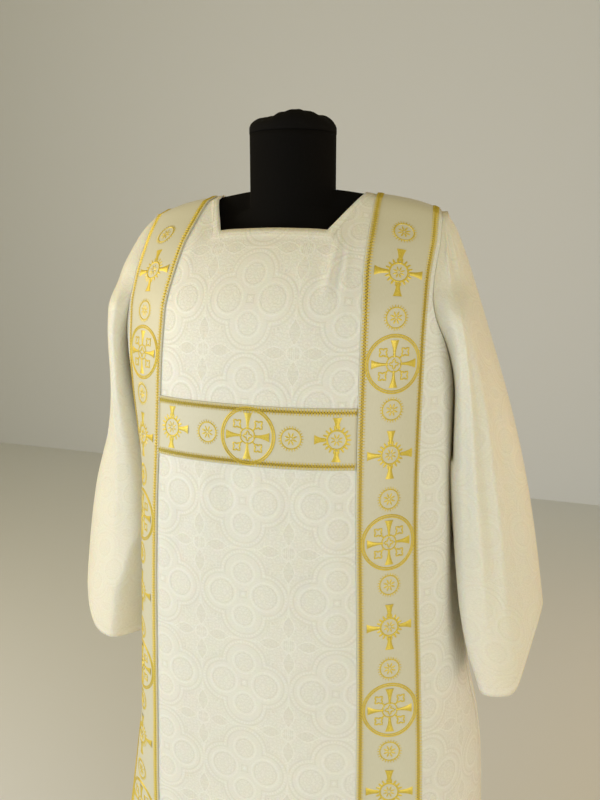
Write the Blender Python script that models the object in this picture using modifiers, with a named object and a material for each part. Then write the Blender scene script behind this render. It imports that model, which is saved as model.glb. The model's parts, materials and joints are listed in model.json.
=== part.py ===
"""A dalmatic on a dress form, as solids at real size, in metres with +Z up.

The garment's front faces -Y, +X is its left side, and Z = 0 is the floor under the stand.
Front and back are panels of woven brocade; the sleeves are set into dropped armholes and hang
empty. Two clavi, the upright ornament bands, run from the front hem over the shoulders to the
back hem, a chest band joins them in front, and a gold braid is sewn along every band's edges.
The cloth rests on the shoulders of a limbless dress form with a pole and a round base.
"""

import math

import bmesh
import bpy
import numpy as np

# Cloth, bands and seams.
CLOTH = 0.0015
BAND_CLOTH = 0.0012
BRAID_CLOTH = 0.0012
SEAM_GAP = 0.0003
LAY_GAP = 0.0004
CLAVUS_WIDTH = 0.091
CHEST_BAND_WIDTH = 0.081
BRAID_WIDTH = 0.007

# The garment's outline.
RIDGE_TOP = 1.462
HEM = 0.222
NECK_FRONT = 1.404
NECK_BACK = 1.406
NECK_SIDE_AT_SHOULDER = 0.112
NECK_SIDE_AT_EDGE = 0.078
CHEST_BAND_MIDDLE = 1.136
UNDERARM = 1.095
SHOULDER_STEEP_X = 0.2305
SLOPING_ROWS_END = 1.25
SECTION_POWER = 2.15
RIDGE_ROWS = 8
BAND_SHARES = (0.28, 0.50, 0.72)
STRIP_SHARES = (0.25, 0.50, 0.75, 1.00)

# Levels of the worn body: right and left are the wearer's, so the left side is at +X.
BODY_COLUMNS = (
    "height", "right_half_width", "left_half_width", "front_depth", "back_depth", "right_power",
)
BODY_LEVELS = (
    (1.4620, 0.010, 0.010, 0.006, 0.006, 2.15),
    (1.4600, 0.060, 0.060, 0.009, 0.009, 2.15),
    (1.4525, 0.112, 0.112, 0.020, 0.019, 2.15),
    (1.4425, 0.170, 0.170, 0.034, 0.032, 2.15),
    (1.4340, 0.198, 0.198, 0.044, 0.041, 2.15),
    (1.4275, 0.213, 0.213, 0.052, 0.048, 2.15),
    (1.4180, 0.2235, 0.2235, 0.063, 0.058, 2.15),
    (1.4040, 0.2330, 0.2305, 0.080, 0.071, 2.15),
    (1.3800, 0.2440, 0.2355, 0.105, 0.090, 2.10),
    (1.3400, 0.2620, 0.238, 0.131, 0.109, 2.05),
    (1.2900, 0.2680, 0.2385, 0.153, 0.122, 2.05),
    (1.2300, 0.2590, 0.239, 0.163, 0.129, 2.25),
    (1.1800, 0.2460, 0.2395, 0.169, 0.132, 2.42),
    (1.1150, 0.2260, 0.240, 0.175, 0.134, 2.80),
    (1.0500, 0.2120, 0.2415, 0.180, 0.137, 3.30),
    (0.9960, 0.2095, 0.245, 0.182, 0.140, 3.60),
    (0.8780, 0.2095, 0.256, 0.183, 0.147, 4.05),
    (0.8190, 0.2105, 0.266, 0.183, 0.150, 4.20),
    (0.7450, 0.2130, 0.280, 0.184, 0.154, 4.25),
    (0.6900, 0.2160, 0.293, 0.185, 0.157, 4.20),
    (0.6200, 0.2270, 0.302, 0.188, 0.161, 3.90),
    (0.5000, 0.2520, 0.308, 0.193, 0.168, 3.20),
    (0.2000, 0.3140, 0.326, 0.204, 0.184, 2.40),
)

# Where the clavi lie: distance across the cloth from the middle to their inner edges.
CLAVUS_COLUMNS = ("level", "right_inner_edge", "left_inner_edge")
CLAVUS_LEVELS = (
    (1.462, 0.1235, 0.1275),
    (1.415, 0.1275, 0.1330),
    (1.355, 0.1345, 0.1365),
    (1.290, 0.1425, 0.1420),
    (1.115, 0.1440, 0.1445),
    (0.996, 0.1455, 0.1470),
    (0.878, 0.1485, 0.1500),
    (0.200, 0.1600, 0.1600),
)

# Armhole: width of the strip of panel left outside the clavus at each level.
ARMHOLE_COLUMNS = ("level", "strip")
ARMHOLE_LEVELS = (
    (1.462, 0.0060),
    (1.330, 0.0070),
    (1.300, 0.0130),
    (1.250, 0.0360),
    (1.180, 0.0640),
    (1.130, 0.0820),
    (1.095, 0.0960),
)

# Soft flutes of the skirt, pushed out of (+) or into (-) the panel towards the hem.
FLUTE_COLUMNS = ("panel", "across", "half_width", "depth_at_hem", "starts_at")
FLUTES = (
    ("front", -0.255, 0.050, 0.016, 0.62),
    ("front", -0.085, 0.060, -0.012, 0.72),
    ("front", 0.070, 0.065, 0.015, 0.80),
    ("front", 0.250, 0.055, 0.018, 1.00),
    ("back", -0.240, 0.055, 0.018, 0.95),
    ("back", -0.075, 0.065, -0.014, 0.85),
    ("back", 0.085, 0.060, 0.016, 0.90),
    ("back", 0.255, 0.050, 0.015, 0.98),
)

# Levels of the hanging sleeves, at the wearer's left (+X); the right one is mirrored.
SLEEVE_COLUMNS = (
    "height", "front_fold_x", "front_fold_y", "outer_x", "outer_y",
    "back_fold_x", "back_fold_y", "under_x",
)
LEFT_SLEEVE = (
    (1.4220, 0.2205, -0.003, 0.2225, 0.000, 0.2205, 0.003, 0.2190),
    (1.4040, 0.2270, -0.022, 0.2345, 0.000, 0.2270, 0.020, 0.2190),
    (1.3760, 0.2310, -0.040, 0.2460, 0.004, 0.2320, 0.036, 0.2200),
    (1.3390, 0.2330, -0.061, 0.2590, 0.008, 0.2360, 0.050, 0.2200),
    (1.2950, 0.2370, -0.082, 0.2740, 0.010, 0.2410, 0.064, 0.2200),
    (1.2500, 0.2430, -0.087, 0.2890, 0.012, 0.2470, 0.072, 0.2300),
    (1.1800, 0.2490, -0.082, 0.3120, 0.014, 0.2550, 0.076, 0.2360),
    (1.0950, 0.2560, -0.076, 0.3360, 0.014, 0.2640, 0.080, 0.2420),
    (1.0000, 0.2640, -0.078, 0.3570, 0.014, 0.2720, 0.086, 0.2540),
    (0.9000, 0.2720, -0.083, 0.3740, 0.014, 0.2810, 0.092, 0.2700),
    (0.8450, 0.2815, -0.086, 0.3820, 0.014, 0.2900, 0.095, 0.2800),
    (0.7820, 0.3020, -0.090, 0.3900, 0.014, 0.3080, 0.099, 0.2950),
    (0.7500, 0.3110, -0.091, 0.3940, 0.014, 0.3160, 0.100, 0.3010),
)
RIGHT_SLEEVE = (
    (1.4220, 0.2205, -0.003, 0.2230, 0.000, 0.2205, 0.003, 0.2190),
    (1.4040, 0.2290, -0.024, 0.2400, -0.002, 0.2290, 0.020, 0.2190),
    (1.3760, 0.2350, -0.048, 0.2570, -0.004, 0.2370, 0.036, 0.2200),
    (1.3390, 0.2400, -0.076, 0.2740, -0.006, 0.2440, 0.050, 0.2200),
    (1.2950, 0.2450, -0.094, 0.2820, -0.006, 0.2500, 0.062, 0.2200),
    (1.2500, 0.2500, -0.094, 0.2850, -0.004, 0.2540, 0.070, 0.2300),
    (1.1800, 0.2490, -0.090, 0.2880, 0.000, 0.2560, 0.076, 0.2330),
    (1.0950, 0.2350, -0.088, 0.3130, 0.004, 0.2540, 0.080, 0.2235),
    (1.0500, 0.2280, -0.087, 0.3330, 0.006, 0.2490, 0.083, 0.2180),
    (1.0000, 0.2235, -0.087, 0.3520, 0.008, 0.2470, 0.086, 0.2155),
    (0.9000, 0.2235, -0.089, 0.3740, 0.010, 0.2520, 0.092, 0.2160),
    (0.8000, 0.2280, -0.092, 0.3890, 0.012, 0.2640, 0.096, 0.2195),
    (0.7500, 0.2310, -0.093, 0.3950, 0.012, 0.2700, 0.098, 0.2225),
)
FACE_REACH = 0.62
FACE_DEPTH = 0.80
CUFF_LOW = {"left": 0.779, "right": 0.756}
CUFF_RISE = 0.095
CUFF_RISE_STARTS = 0.28
FOLDS_START = 1.285
FOLDS_END = 1.345
SLEEVE_STEPS_PER_SPAN = 3
SLEEVE_ROWS_BELOW_UNDERARM = 7

# The dress form: torso levels below the shoulders, neck, cap, pole and base.
FORM_COLUMNS = ("height", "half_width", "front_depth", "back_depth")
FORM_LEVELS = (
    (0.860, 0.150, 0.105, 0.100),
    (0.885, 0.163, 0.118, 0.112),
    (0.940, 0.168, 0.122, 0.116),
    (1.000, 0.158, 0.114, 0.104),
    (1.060, 0.137, 0.100, 0.086),
    (1.120, 0.143, 0.108, 0.088),
    (1.200, 0.162, 0.128, 0.098),
    (1.280, 0.178, 0.126, 0.101),
    (1.340, 0.190, 0.104, 0.090),
    (1.385, 0.196, 0.074, 0.060),
    (1.410, 0.2010, 0.052, 0.042),
)
FORM_SHOULDER_X = (0.2020, 0.1950, 0.1840, 0.1700, 0.1540, 0.1370, 0.1180, 0.0980, 0.0700)
FORM_SEAT_GAP = 0.0006
FORM_DEPTH_SHARE = 0.55
FORM_SIDES = 28
NECK_RADIUS = 0.0615
NECK_TOP = 1.534
NECK_FOOT = 1.380
CAP_PROFILE_COLUMNS = ("radius", "height")
CAP_PROFILE = (
    (0.0000, 1.5640), (0.0300, 1.5632), (0.0480, 1.5608), (0.0565, 1.5560),
    (0.0605, 1.5480), (0.0612, 1.5343), (0.0000, 1.5343),
)
POLE_RADIUS = 0.016
POLE_SOCKET_RADIUS = 0.032
POLE_SOCKET_HEIGHT = 0.045
BASE_RADIUS = 0.190
BASE_HEIGHT = 0.018
BASE_BEVEL = 0.004
FORM_FACE_GAP = 0.0003
ROUND_SIDES = 28


def steady_slopes(knots, values):
    """Slopes that keep a curve through the knots from overshooting between them."""
    steps = np.diff(knots)
    rises = np.diff(values) / steps
    slopes = np.empty(len(knots))
    slopes[0], slopes[-1] = rises[0], rises[-1]
    for i in range(1, len(knots) - 1):
        before, after = rises[i - 1], rises[i]
        if before * after <= 0:
            slopes[i] = 0.0
        else:
            w1 = 2 * steps[i] + steps[i - 1]
            w2 = steps[i] + 2 * steps[i - 1]
            slopes[i] = (w1 + w2) / (w1 / before + w2 / after)
    return slopes


class Curve:
    """A smooth curve through (knot, value) pairs, given in any order."""

    def __init__(self, knots, values):
        order = np.argsort(knots)
        self.knots = np.array(knots, float)[order]
        self.values = np.array(values, float)[order]
        self.slopes = steady_slopes(self.knots, self.values)

    def __call__(self, where):
        where = np.clip(where, self.knots[0], self.knots[-1])
        i = np.clip(np.searchsorted(self.knots, where) - 1, 0, len(self.knots) - 2)
        step = self.knots[i + 1] - self.knots[i]
        t = (where - self.knots[i]) / step
        return (
            self.values[i] * (1 + 2 * t) * (1 - t) ** 2
            + self.slopes[i] * step * t * (1 - t) ** 2
            + self.values[i + 1] * t * t * (3 - 2 * t)
            + self.slopes[i + 1] * step * t * t * (t - 1)
        )


def table_curves(columns, rows):
    """One curve over the first column for each other named column."""
    knots = [row[0] for row in rows]
    return {
        name: Curve(knots, [row[i] for row in rows])
        for i, name in enumerate(columns)
        if i
    }


BODY = table_curves(BODY_COLUMNS, BODY_LEVELS)
CLAVUS = table_curves(CLAVUS_COLUMNS, CLAVUS_LEVELS)
ARMHOLE = table_curves(ARMHOLE_COLUMNS, ARMHOLE_LEVELS)
RIDGE = Curve(
    [row[1] for row in BODY_LEVELS[:RIDGE_ROWS]],
    [row[0] for row in BODY_LEVELS[:RIDGE_ROWS]],
)


def ease(t):
    t = np.clip(t, 0.0, 1.0)
    return t * t * (3 - 2 * t)


def ridge_fall(x):
    """How far the shoulder line at x lies below its top."""
    return RIDGE_TOP - RIDGE(np.clip(np.abs(x), BODY_LEVELS[0][1], SHOULDER_STEEP_X))


def row_height(x, level):
    """A row follows the shoulder's slope at the top and is level below the chest."""
    share = ease((level - SLOPING_ROWS_END) / (RIDGE_TOP - SLOPING_ROWS_END))
    return level - ridge_fall(x) * share


def body_depth(x, z, panel):
    """Distance of the worn cloth from the plane through the two side seams."""
    on_left = np.mean(x) > 0
    width = BODY["left_half_width" if on_left else "right_half_width"](z)
    power = SECTION_POWER if on_left else BODY["right_power"](z)
    fill = np.maximum(1 - (np.abs(x) / width) ** power, 0.0)
    return BODY[panel + "_depth"](z) * fill ** (1 / power)


class Row:
    """One row of a panel on one side of the middle, measured across the cloth."""

    SAMPLES = 240

    def __init__(self, level, panel, side):
        self.level, self.panel, self.side = level, panel, side
        width = BODY["left_half_width" if side > 0 else "right_half_width"]
        low, high = 0.2, 0.36
        for _ in range(40):
            middle = (low + high) / 2
            if width(row_height(middle, level)) > middle:
                low = middle
            else:
                high = middle
        t = math.pi / 2 * (1 - np.linspace(1, 0, self.SAMPLES) ** 2)
        x = low * np.sin(t)
        z = row_height(x, level)
        y = body_depth(np.maximum(x, 1e-9) * side, z, panel)
        self.x, self.y, self.z = x, y, z
        steps = np.sqrt(np.diff(x) ** 2 + np.diff(y) ** 2 + np.diff(z) ** 2)
        self.across = np.concatenate([[0.0], np.cumsum(steps)])

    def point(self, across):
        facing = -1 if self.panel == "front" else 1
        x = np.interp(across, self.across, self.x)
        y = np.interp(across, self.across, self.y)
        z = np.interp(across, self.across, self.z)
        return np.array([self.side * x, facing * max(y, SEAM_GAP / 2), z])


ROWS = {}


def row_at(level, panel, side):
    key = (round(level, 6), panel, side)
    if key not in ROWS:
        ROWS[key] = Row(level, panel, side)
    return ROWS[key]


def flute(panel, across, level):
    """How far the skirt's soft folds push the cloth out at this place."""
    push = 0.0
    for name, middle, half_width, depth, starts in FLUTES:
        if name == panel:
            grown = ease((starts - level) / (starts - HEM))
            push += depth * grown * math.exp(-(((across - middle) / half_width) ** 2))
    return push


def inner_edge(level, side):
    return float(CLAVUS["left_inner_edge" if side > 0 else "right_inner_edge"](level))


def side_edge(level, panel, side):
    """Distance across the cloth from the middle to the armhole or the side seam."""
    outer = inner_edge(level, side) + CLAVUS_WIDTH
    whole = row_at(level, panel, side).across[-1] - SEAM_GAP / 2
    if level <= UNDERARM:
        return whole
    return min(outer + float(ARMHOLE["strip"](level)), whole)


def neck_edge(level, panel):
    edge = NECK_FRONT if panel == "front" else NECK_BACK
    share = np.clip((level - edge) / (RIDGE_TOP - edge), 0, 1)
    return NECK_SIDE_AT_EDGE + share * (NECK_SIDE_AT_SHOULDER - NECK_SIDE_AT_EDGE)


def panel_columns(level, panel, side):
    """Distances across the cloth of the panel's columns, from the middle to the side."""
    neck = neck_edge(level, panel)
    inner = inner_edge(level, side)
    outer = inner + CLAVUS_WIDTH
    edge = side_edge(level, panel, side)
    middle = [0.0, neck / 2, neck]
    chest = [(neck + inner) / 2]
    band = [inner, inner + BRAID_WIDTH]
    band += [inner + CLAVUS_WIDTH * share for share in BAND_SHARES]
    band += [outer - BRAID_WIDTH, outer]
    strip = [outer + (edge - outer) * share for share in STRIP_SHARES]
    return middle + chest + band + strip


NECK_COLUMN = 2
BAND_FIRST, BAND_LAST = 4, 10
BAND_LEVEL_HALF = CHEST_BAND_WIDTH / 2
PANEL_LEVELS = (
    1.4620, 1.4590, 1.4520, 1.4410, 1.4270, NECK_BACK, 1.3800, 1.3450, 1.3000, 1.2550, 1.2150,
    CHEST_BAND_MIDDLE + BAND_LEVEL_HALF,
    CHEST_BAND_MIDDLE + BAND_LEVEL_HALF - BRAID_WIDTH,
    CHEST_BAND_MIDDLE - BAND_LEVEL_HALF + BRAID_WIDTH,
    UNDERARM + 0.0005,
    1.0200, 0.9300, 0.8400, 0.7600, 0.6800, 0.5800, 0.4600, 0.3400, HEM,
)
NECK_ROW = 5
CHEST_ROWS = (11, 14)
UNDERARM_ROW = 14


def panel_grid(panel):
    """Points of the panel's outer face, by row and column, and the outward direction at each."""
    points = []
    for level in PANEL_LEVELS:
        line = []
        for side in (-1, 1):
            row = row_at(level, panel, side)
            columns = panel_columns(level, panel, side)
            made = [row.point(across) for across in columns]
            shifts = [flute(panel, side * across, level) for across in columns]
            line.append((made, shifts))
        right, left = line
        whole = right[0][::-1] + left[0][1:]
        push = right[1][::-1] + left[1][1:]
        points.append((whole, push))
    base = np.array([whole for whole, _ in points])
    push = np.array([push for _, push in points])
    out = outward(base, panel)
    return base + out * push[..., None], outward(base + out * push[..., None], panel)


def outward(grid, panel):
    """Unit directions out of the cloth at each point of a grid."""
    down = np.gradient(grid, axis=0)
    across = np.gradient(grid, axis=1)
    out = np.cross(down, across)
    if panel == "back":
        out = -out
    length = np.linalg.norm(out, axis=2, keepdims=True)
    return out / np.maximum(length, 1e-12)


def material(name, colour, roughness, metallic=0.0):
    made = bpy.data.materials.new(name)
    made.use_nodes = True
    shader = made.node_tree.nodes["Principled BSDF"]
    shader.inputs["Base Color"].default_value = (*colour, 1.0)
    shader.inputs["Roughness"].default_value = roughness
    shader.inputs["Metallic"].default_value = metallic
    return made


def keep_object(name, mesh, finish, collection, smooth=True):
    mesh.materials.append(finish)
    if smooth:
        mesh.shade_smooth()
    made = bpy.data.objects.new(name, mesh)
    collection.objects.link(made)
    return made


def wall_mesh(name, outer, inner, kept=None, flip=False):
    """A closed wall of triangles between two grids of points; kept(row, column) leaves cells out.

    A flipped wall faces the other way and has its cells split along the other diagonal, so that
    a band that runs up the front and down the back is split as both panels under it are.
    """
    rows, columns = outer.shape[:2]
    faces, used = [], {}
    for i in range(rows - 1):
        for j in range(columns - 1):
            if kept is not None and not kept(i, j):
                continue
            corners = [(i, j), (i + 1, j), (i + 1, j + 1), (i, j + 1)]
            ids = [used.setdefault(corner, len(used)) for corner in corners]
            if flip:
                faces += [(ids[0], ids[3], ids[1]), (ids[1], ids[3], ids[2])]
            else:
                faces += [(ids[0], ids[1], ids[2]), (ids[0], ids[2], ids[3])]
    edges = {(a, b) for face in faces for a, b in zip(face, face[1:] + face[:1])}
    shift = len(used)
    rim = []
    for a, b in sorted(edges):
        if (b, a) not in edges:
            rim += [(b, a, a + shift), (b, a + shift, b + shift)]
    inside = [tuple(k + shift for k in face[::-1]) for face in faces]
    points = [tuple(outer[corner]) for corner in used] + [tuple(inner[corner]) for corner in used]
    mesh = bpy.data.meshes.new(name)
    mesh.from_pydata(points, [], faces + inside + rim)
    return mesh


def cloth_piece(name, outer, inner, finish, collection, kept=None, flip=False):
    """A wall of cloth between its outer and its inner face."""
    return keep_object(name, wall_mesh(name, outer, inner, kept, flip), finish, collection)


def build_panel(panel, made, finish, collection):
    grid, out = made
    middle = grid.shape[1] // 2
    inward = out.copy()
    inward[0, :, 1] = 0.0
    side_rows = [i for i, level in enumerate(PANEL_LEVELS) if level <= UNDERARM + SEAM_GAP * 2]
    for column in (0, -1):
        inward[side_rows, column, 1] = 0.0
    inward /= np.linalg.norm(inward, axis=2, keepdims=True)

    def below_neckline(i, j):
        inside_neck = middle - NECK_COLUMN <= j < middle + NECK_COLUMN
        return i >= NECK_ROW or not inside_neck

    inner = grid - inward * CLOTH
    return cloth_piece(panel, grid, inner, finish, collection, below_neckline, panel == "back")


def band_columns(grid, side):
    """Column numbers of one clavus, in the panel's own order."""
    middle = grid.shape[1] // 2
    return sorted(middle + side * k for k in range(BAND_FIRST, BAND_LAST + 1))


def over_the_shoulder(front, back, columns):
    """A strip of points from the front hem over the shoulder to the back hem."""
    return np.concatenate([front[::-1][:, columns], back[:, columns]])


def laid_on(points, out, gap, thickness):
    """The outer and inner face of a layer that lies that far out from the points."""
    return points + out * (gap + thickness), points + out * gap


def build_clavus(name, side, front, back, finish, braid_finish, collection):
    front_grid, front_out = front
    back_grid, back_out = back
    columns = band_columns(front_grid, side)
    points = over_the_shoulder(front_grid, back_grid, columns)
    out = over_the_shoulder(front_out, back_out, columns)
    band = laid_on(points, out, LAY_GAP, BAND_CLOTH)
    cloth_piece("clavus_" + name, *band, finish, collection, flip=True)
    first, last = slice(0, 2), slice(-2, None)
    pairs = {"inner": first, "outer": last} if side > 0 else {"inner": last, "outer": first}
    for where, pair in pairs.items():
        braid = laid_on(points[:, pair], out[:, pair], 2 * LAY_GAP + BAND_CLOTH, BRAID_CLOTH)
        cloth_piece(f"braid_{name}_{where}", *braid, braid_finish, collection, flip=True)


def build_chest_band(front, finish, braid_finish, collection):
    grid, out = front
    middle = grid.shape[1] // 2
    first, last = CHEST_ROWS
    reach = BAND_FIRST
    rows = slice(first, last + 1)
    columns = slice(middle - reach, middle + reach + 1)
    points, away = grid[rows, columns].copy(), out[rows, columns]
    for end, inward in ((0, 1), (-1, -1)):
        step = points[:, end + inward] - points[:, end]
        step /= np.linalg.norm(step, axis=1, keepdims=True)
        points[:, end] += step * LAY_GAP * 2
    cloth_piece("chest_band", *laid_on(points, away, LAY_GAP, BAND_CLOTH), finish, collection)
    for where, pair in (("top", slice(0, 2)), ("bottom", slice(-2, None))):
        braid = laid_on(points[pair], away[pair], 2 * LAY_GAP + BAND_CLOTH, BRAID_CLOTH)
        cloth_piece("braid_chest_" + where, *braid, braid_finish, collection)


def through(points, steps):
    """A smooth line through the points, with that many steps between neighbours."""
    ends = [2 * points[0] - points[1]] + list(points) + [2 * points[-1] - points[-2]]
    line = []
    for a, b, c, d in zip(ends, ends[1:], ends[2:], ends[3:]):
        for k in range(steps):
            t = k / steps
            line.append(
                0.5
                * (
                    2 * b
                    + (c - a) * t
                    + (2 * a - 5 * b + 4 * c - d) * t * t
                    + (3 * b - a - 3 * c + d) * t**3
                )
            )
    return np.array(line + [points[-1]])


def sleeve_section(curves, side, front_end, back_end, height):
    """One section of a sleeve, from its front edge round the outside to its back edge."""
    def at(name):
        return float(curves[name](height))

    front = np.array([side * at("front_fold_x"), at("front_fold_y")])
    back = np.array([side * at("back_fold_x"), at("back_fold_y")])
    outer = np.array([side * at("outer_x"), at("outer_y")])
    front_face = np.array([front[0] + FACE_REACH * (outer[0] - front[0]), FACE_DEPTH * front[1]])
    back_face = np.array([back[0] + FACE_REACH * (outer[0] - back[0]), FACE_DEPTH * back[1]])
    round_top = ease((height - FOLDS_START) / (FOLDS_END - FOLDS_START))

    def towards_outer(end, turn, hanging):
        smooth = np.array([
            end[0] + (outer[0] - end[0]) * math.sin(turn),
            outer[1] + (end[1] - outer[1]) * math.cos(turn),
        ])
        return hanging + (smooth - hanging) * round_top

    controls = [
        front_end[:2],
        towards_outer(front_end, math.pi / 6, front),
        towards_outer(front_end, math.pi / 3, front_face),
        outer,
        towards_outer(back_end, math.pi / 3, back_face),
        towards_outer(back_end, math.pi / 6, back),
        back_end[:2],
    ]
    flat = through(controls, SLEEVE_STEPS_PER_SPAN)
    share = np.linspace(0, 1, len(flat))
    heights = front_end[2] * (1 - share) + back_end[2] * share
    return np.column_stack([flat, heights])


def armhole_end(grid, out, row, side):
    """The sleeve's edge point beside a panel's armhole edge."""
    column = 0 if side < 0 else grid.shape[1] - 1
    inward = 1 if side < 0 else -1
    edge = grid[row, column]
    away = edge - grid[row, column + inward]
    away /= np.linalg.norm(away)
    return edge + away * LAY_GAP + out[row, column] * LAY_GAP


def build_sleeve(name, side, table, front, back, finish, collection):
    curves = table_curves(SLEEVE_COLUMNS, table)
    rows = []
    for i in range(UNDERARM_ROW + 1):
        ends = armhole_end(*front, i, side), armhole_end(*back, i, side)
        height = (ends[0][2] + ends[1][2]) / 2
        rows.append(sleeve_section(curves, side, *ends, height))
    start = rows[-1]
    share_round = np.linspace(0, 1, len(start))
    from_edge = np.minimum(share_round, 1 - share_round)
    rise = ease((from_edge - CUFF_RISE_STARTS) / (0.5 - CUFF_RISE_STARTS))
    cuff = CUFF_LOW[name] + CUFF_RISE * rise
    for k in range(1, SLEEVE_ROWS_BELOW_UNDERARM + 1):
        down = k / SLEEVE_ROWS_BELOW_UNDERARM
        heights = start[:, 2] + (cuff - start[:, 2]) * down
        row = []
        for j, height in enumerate(heights):
            under = side * float(curves["under_x"](height))
            ends = (
                np.array([under, -SEAM_GAP / 2, height]),
                np.array([under, SEAM_GAP / 2, height]),
            )
            row.append(sleeve_section(curves, side, *ends, height)[j])
        rows.append(row)
    grid = np.array([np.array(row) for row in rows])
    out = outward(grid, "front") * side
    seam_rows = slice(UNDERARM_ROW, None)
    for column in (0, -1):
        out[seam_rows, column, 1] = 0.0
    out /= np.linalg.norm(out, axis=2, keepdims=True)
    cloth_piece("sleeve_" + name, grid, grid - out * CLOTH, finish, collection, flip=side < 0)


def loft(name, rings):
    """A closed body through rings of points, with flat ends."""
    made = bmesh.new()
    loops = [[made.verts.new(tuple(point)) for point in ring] for ring in rings]
    for lower, upper in zip(loops, loops[1:]):
        for k in range(len(lower)):
            n = (k + 1) % len(lower)
            made.faces.new((lower[k], lower[n], upper[n], upper[k]))
    made.faces.new(loops[0][::-1])
    made.faces.new(loops[-1])
    bmesh.ops.triangulate(made, faces=[f for f in made.faces if len(f.verts) > 4])
    mesh = bpy.data.meshes.new(name)
    made.to_mesh(mesh)
    made.free()
    return mesh


def form_ring(height, half_width, front_depth, back_depth):
    ring = []
    for k in range(FORM_SIDES):
        turn = 2 * math.pi * k / FORM_SIDES
        c, s = math.cos(turn), math.sin(turn)
        depth = back_depth if s > 0 else front_depth
        power = 2 / SECTION_POWER
        ring.append((
            math.copysign(half_width * abs(c) ** power, c),
            math.copysign(depth * abs(s) ** power, s),
            height,
        ))
    return ring


def turned(name, profile, finish, collection, sides=ROUND_SIDES):
    """A body turned about the upright axis, from a profile that runs down its outer side."""
    mesh = bpy.data.meshes.new(name)
    corners = [(radius, 0.0, height) for radius, height in profile]
    mesh.from_pydata(corners, [(i, i + 1) for i in range(len(corners) - 1)], [])
    made = keep_object(name, mesh, finish, collection, smooth=False)
    screw = made.modifiers.new("turned", "SCREW")
    screw.steps = screw.render_steps = sides
    screw.use_merge_vertices = True
    screw.merge_threshold = 0.00001
    return made


def build_form(finish, cap_finish, metal_finish, collection, cutters):
    rings = [form_ring(*row) for row in FORM_LEVELS]
    for x in FORM_SHOULDER_X:
        height = float(RIDGE(x)) - CLOTH - FORM_SEAT_GAP
        front = float(BODY["front_depth"](height)) * FORM_DEPTH_SHARE
        back = float(BODY["back_depth"](height)) * FORM_DEPTH_SHARE
        rings.append(form_ring(height, x, front, back))
    torso = keep_object("form_torso", loft("form_torso", rings), finish, collection)
    neck_rings = []
    for height in (NECK_FOOT, 1.44, 1.49, NECK_TOP):
        neck_rings.append([
            (NECK_RADIUS * math.cos(a), NECK_RADIUS * math.sin(a), height)
            for a in (2 * math.pi * (k + 0.5) / FORM_SIDES for k in range(FORM_SIDES))
        ])
    neck = keep_object("neck_joined", loft("neck_joined", neck_rings), finish, cutters)
    neck.hide_render = True
    neck.display_type = "WIRE"
    join = torso.modifiers.new("neck", "BOOLEAN")
    join.operation = "UNION"
    join.object = neck
    turned("form_cap", CAP_PROFILE, cap_finish, collection)
    torso_foot = FORM_LEVELS[0][0]
    turned("form_pole", (
        (0.0, torso_foot - FORM_FACE_GAP),
        (POLE_RADIUS, torso_foot - FORM_FACE_GAP),
        (POLE_RADIUS, BASE_HEIGHT + POLE_SOCKET_HEIGHT + FORM_FACE_GAP),
        (0.0, BASE_HEIGHT + POLE_SOCKET_HEIGHT + FORM_FACE_GAP),
    ), metal_finish, collection)
    turned("form_base", (
        (0.0, BASE_HEIGHT + POLE_SOCKET_HEIGHT),
        (POLE_SOCKET_RADIUS * 0.75, BASE_HEIGHT + POLE_SOCKET_HEIGHT),
        (POLE_SOCKET_RADIUS, BASE_HEIGHT + POLE_SOCKET_HEIGHT - 0.008),
        (POLE_SOCKET_RADIUS, BASE_HEIGHT),
        (BASE_RADIUS - BASE_BEVEL, BASE_HEIGHT),
        (BASE_RADIUS, BASE_HEIGHT - BASE_BEVEL),
        (BASE_RADIUS, 0.0),
        (0.0, 0.0),
    ), metal_finish, collection)


def clear_scene():
    for old in list(bpy.data.objects):
        bpy.data.objects.remove(old, do_unlink=True)


def main():
    clear_scene()
    collection = bpy.data.collections.new("dalmatic_on_dress_form")
    cutters = bpy.data.collections.new("cutters")
    bpy.context.scene.collection.children.link(collection)
    bpy.context.scene.collection.children.link(cutters)
    brocade = material("ivory brocade", (0.74, 0.70, 0.56), 0.55)
    satin = material("ivory satin band", (0.66, 0.60, 0.43), 0.50)
    gold = material("gold braid", (0.72, 0.50, 0.12), 0.35, 0.6)
    jersey = material("black jersey", (0.012, 0.012, 0.012), 0.85)
    steel = material("black painted steel", (0.02, 0.02, 0.02), 0.35, 0.3)
    front, back = panel_grid("front"), panel_grid("back")
    build_panel("front", front, brocade, collection)
    build_panel("back", back, brocade, collection)
    build_sleeve("left", 1, LEFT_SLEEVE, front, back, brocade, collection)
    build_sleeve("right", -1, RIGHT_SLEEVE, front, back, brocade, collection)
    build_clavus("left", 1, front, back, satin, gold, collection)
    build_clavus("right", -1, front, back, satin, gold, collection)
    build_chest_band(front, satin, gold, collection)
    build_form(jersey, jersey, steel, collection, cutters)


main()
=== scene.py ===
"""The looks of a dalmatic on a dress form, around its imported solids, in metres with +Z up.

The garment's front faces -Y and +X is its left side. The sections follow the making: the woven
panels, the sleeves, the ornament bands with their embroidery and braid, the hems' stitching, the
dress form that carries the garment, and last the studio.
"""

import json
import math
from functools import partial

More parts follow.
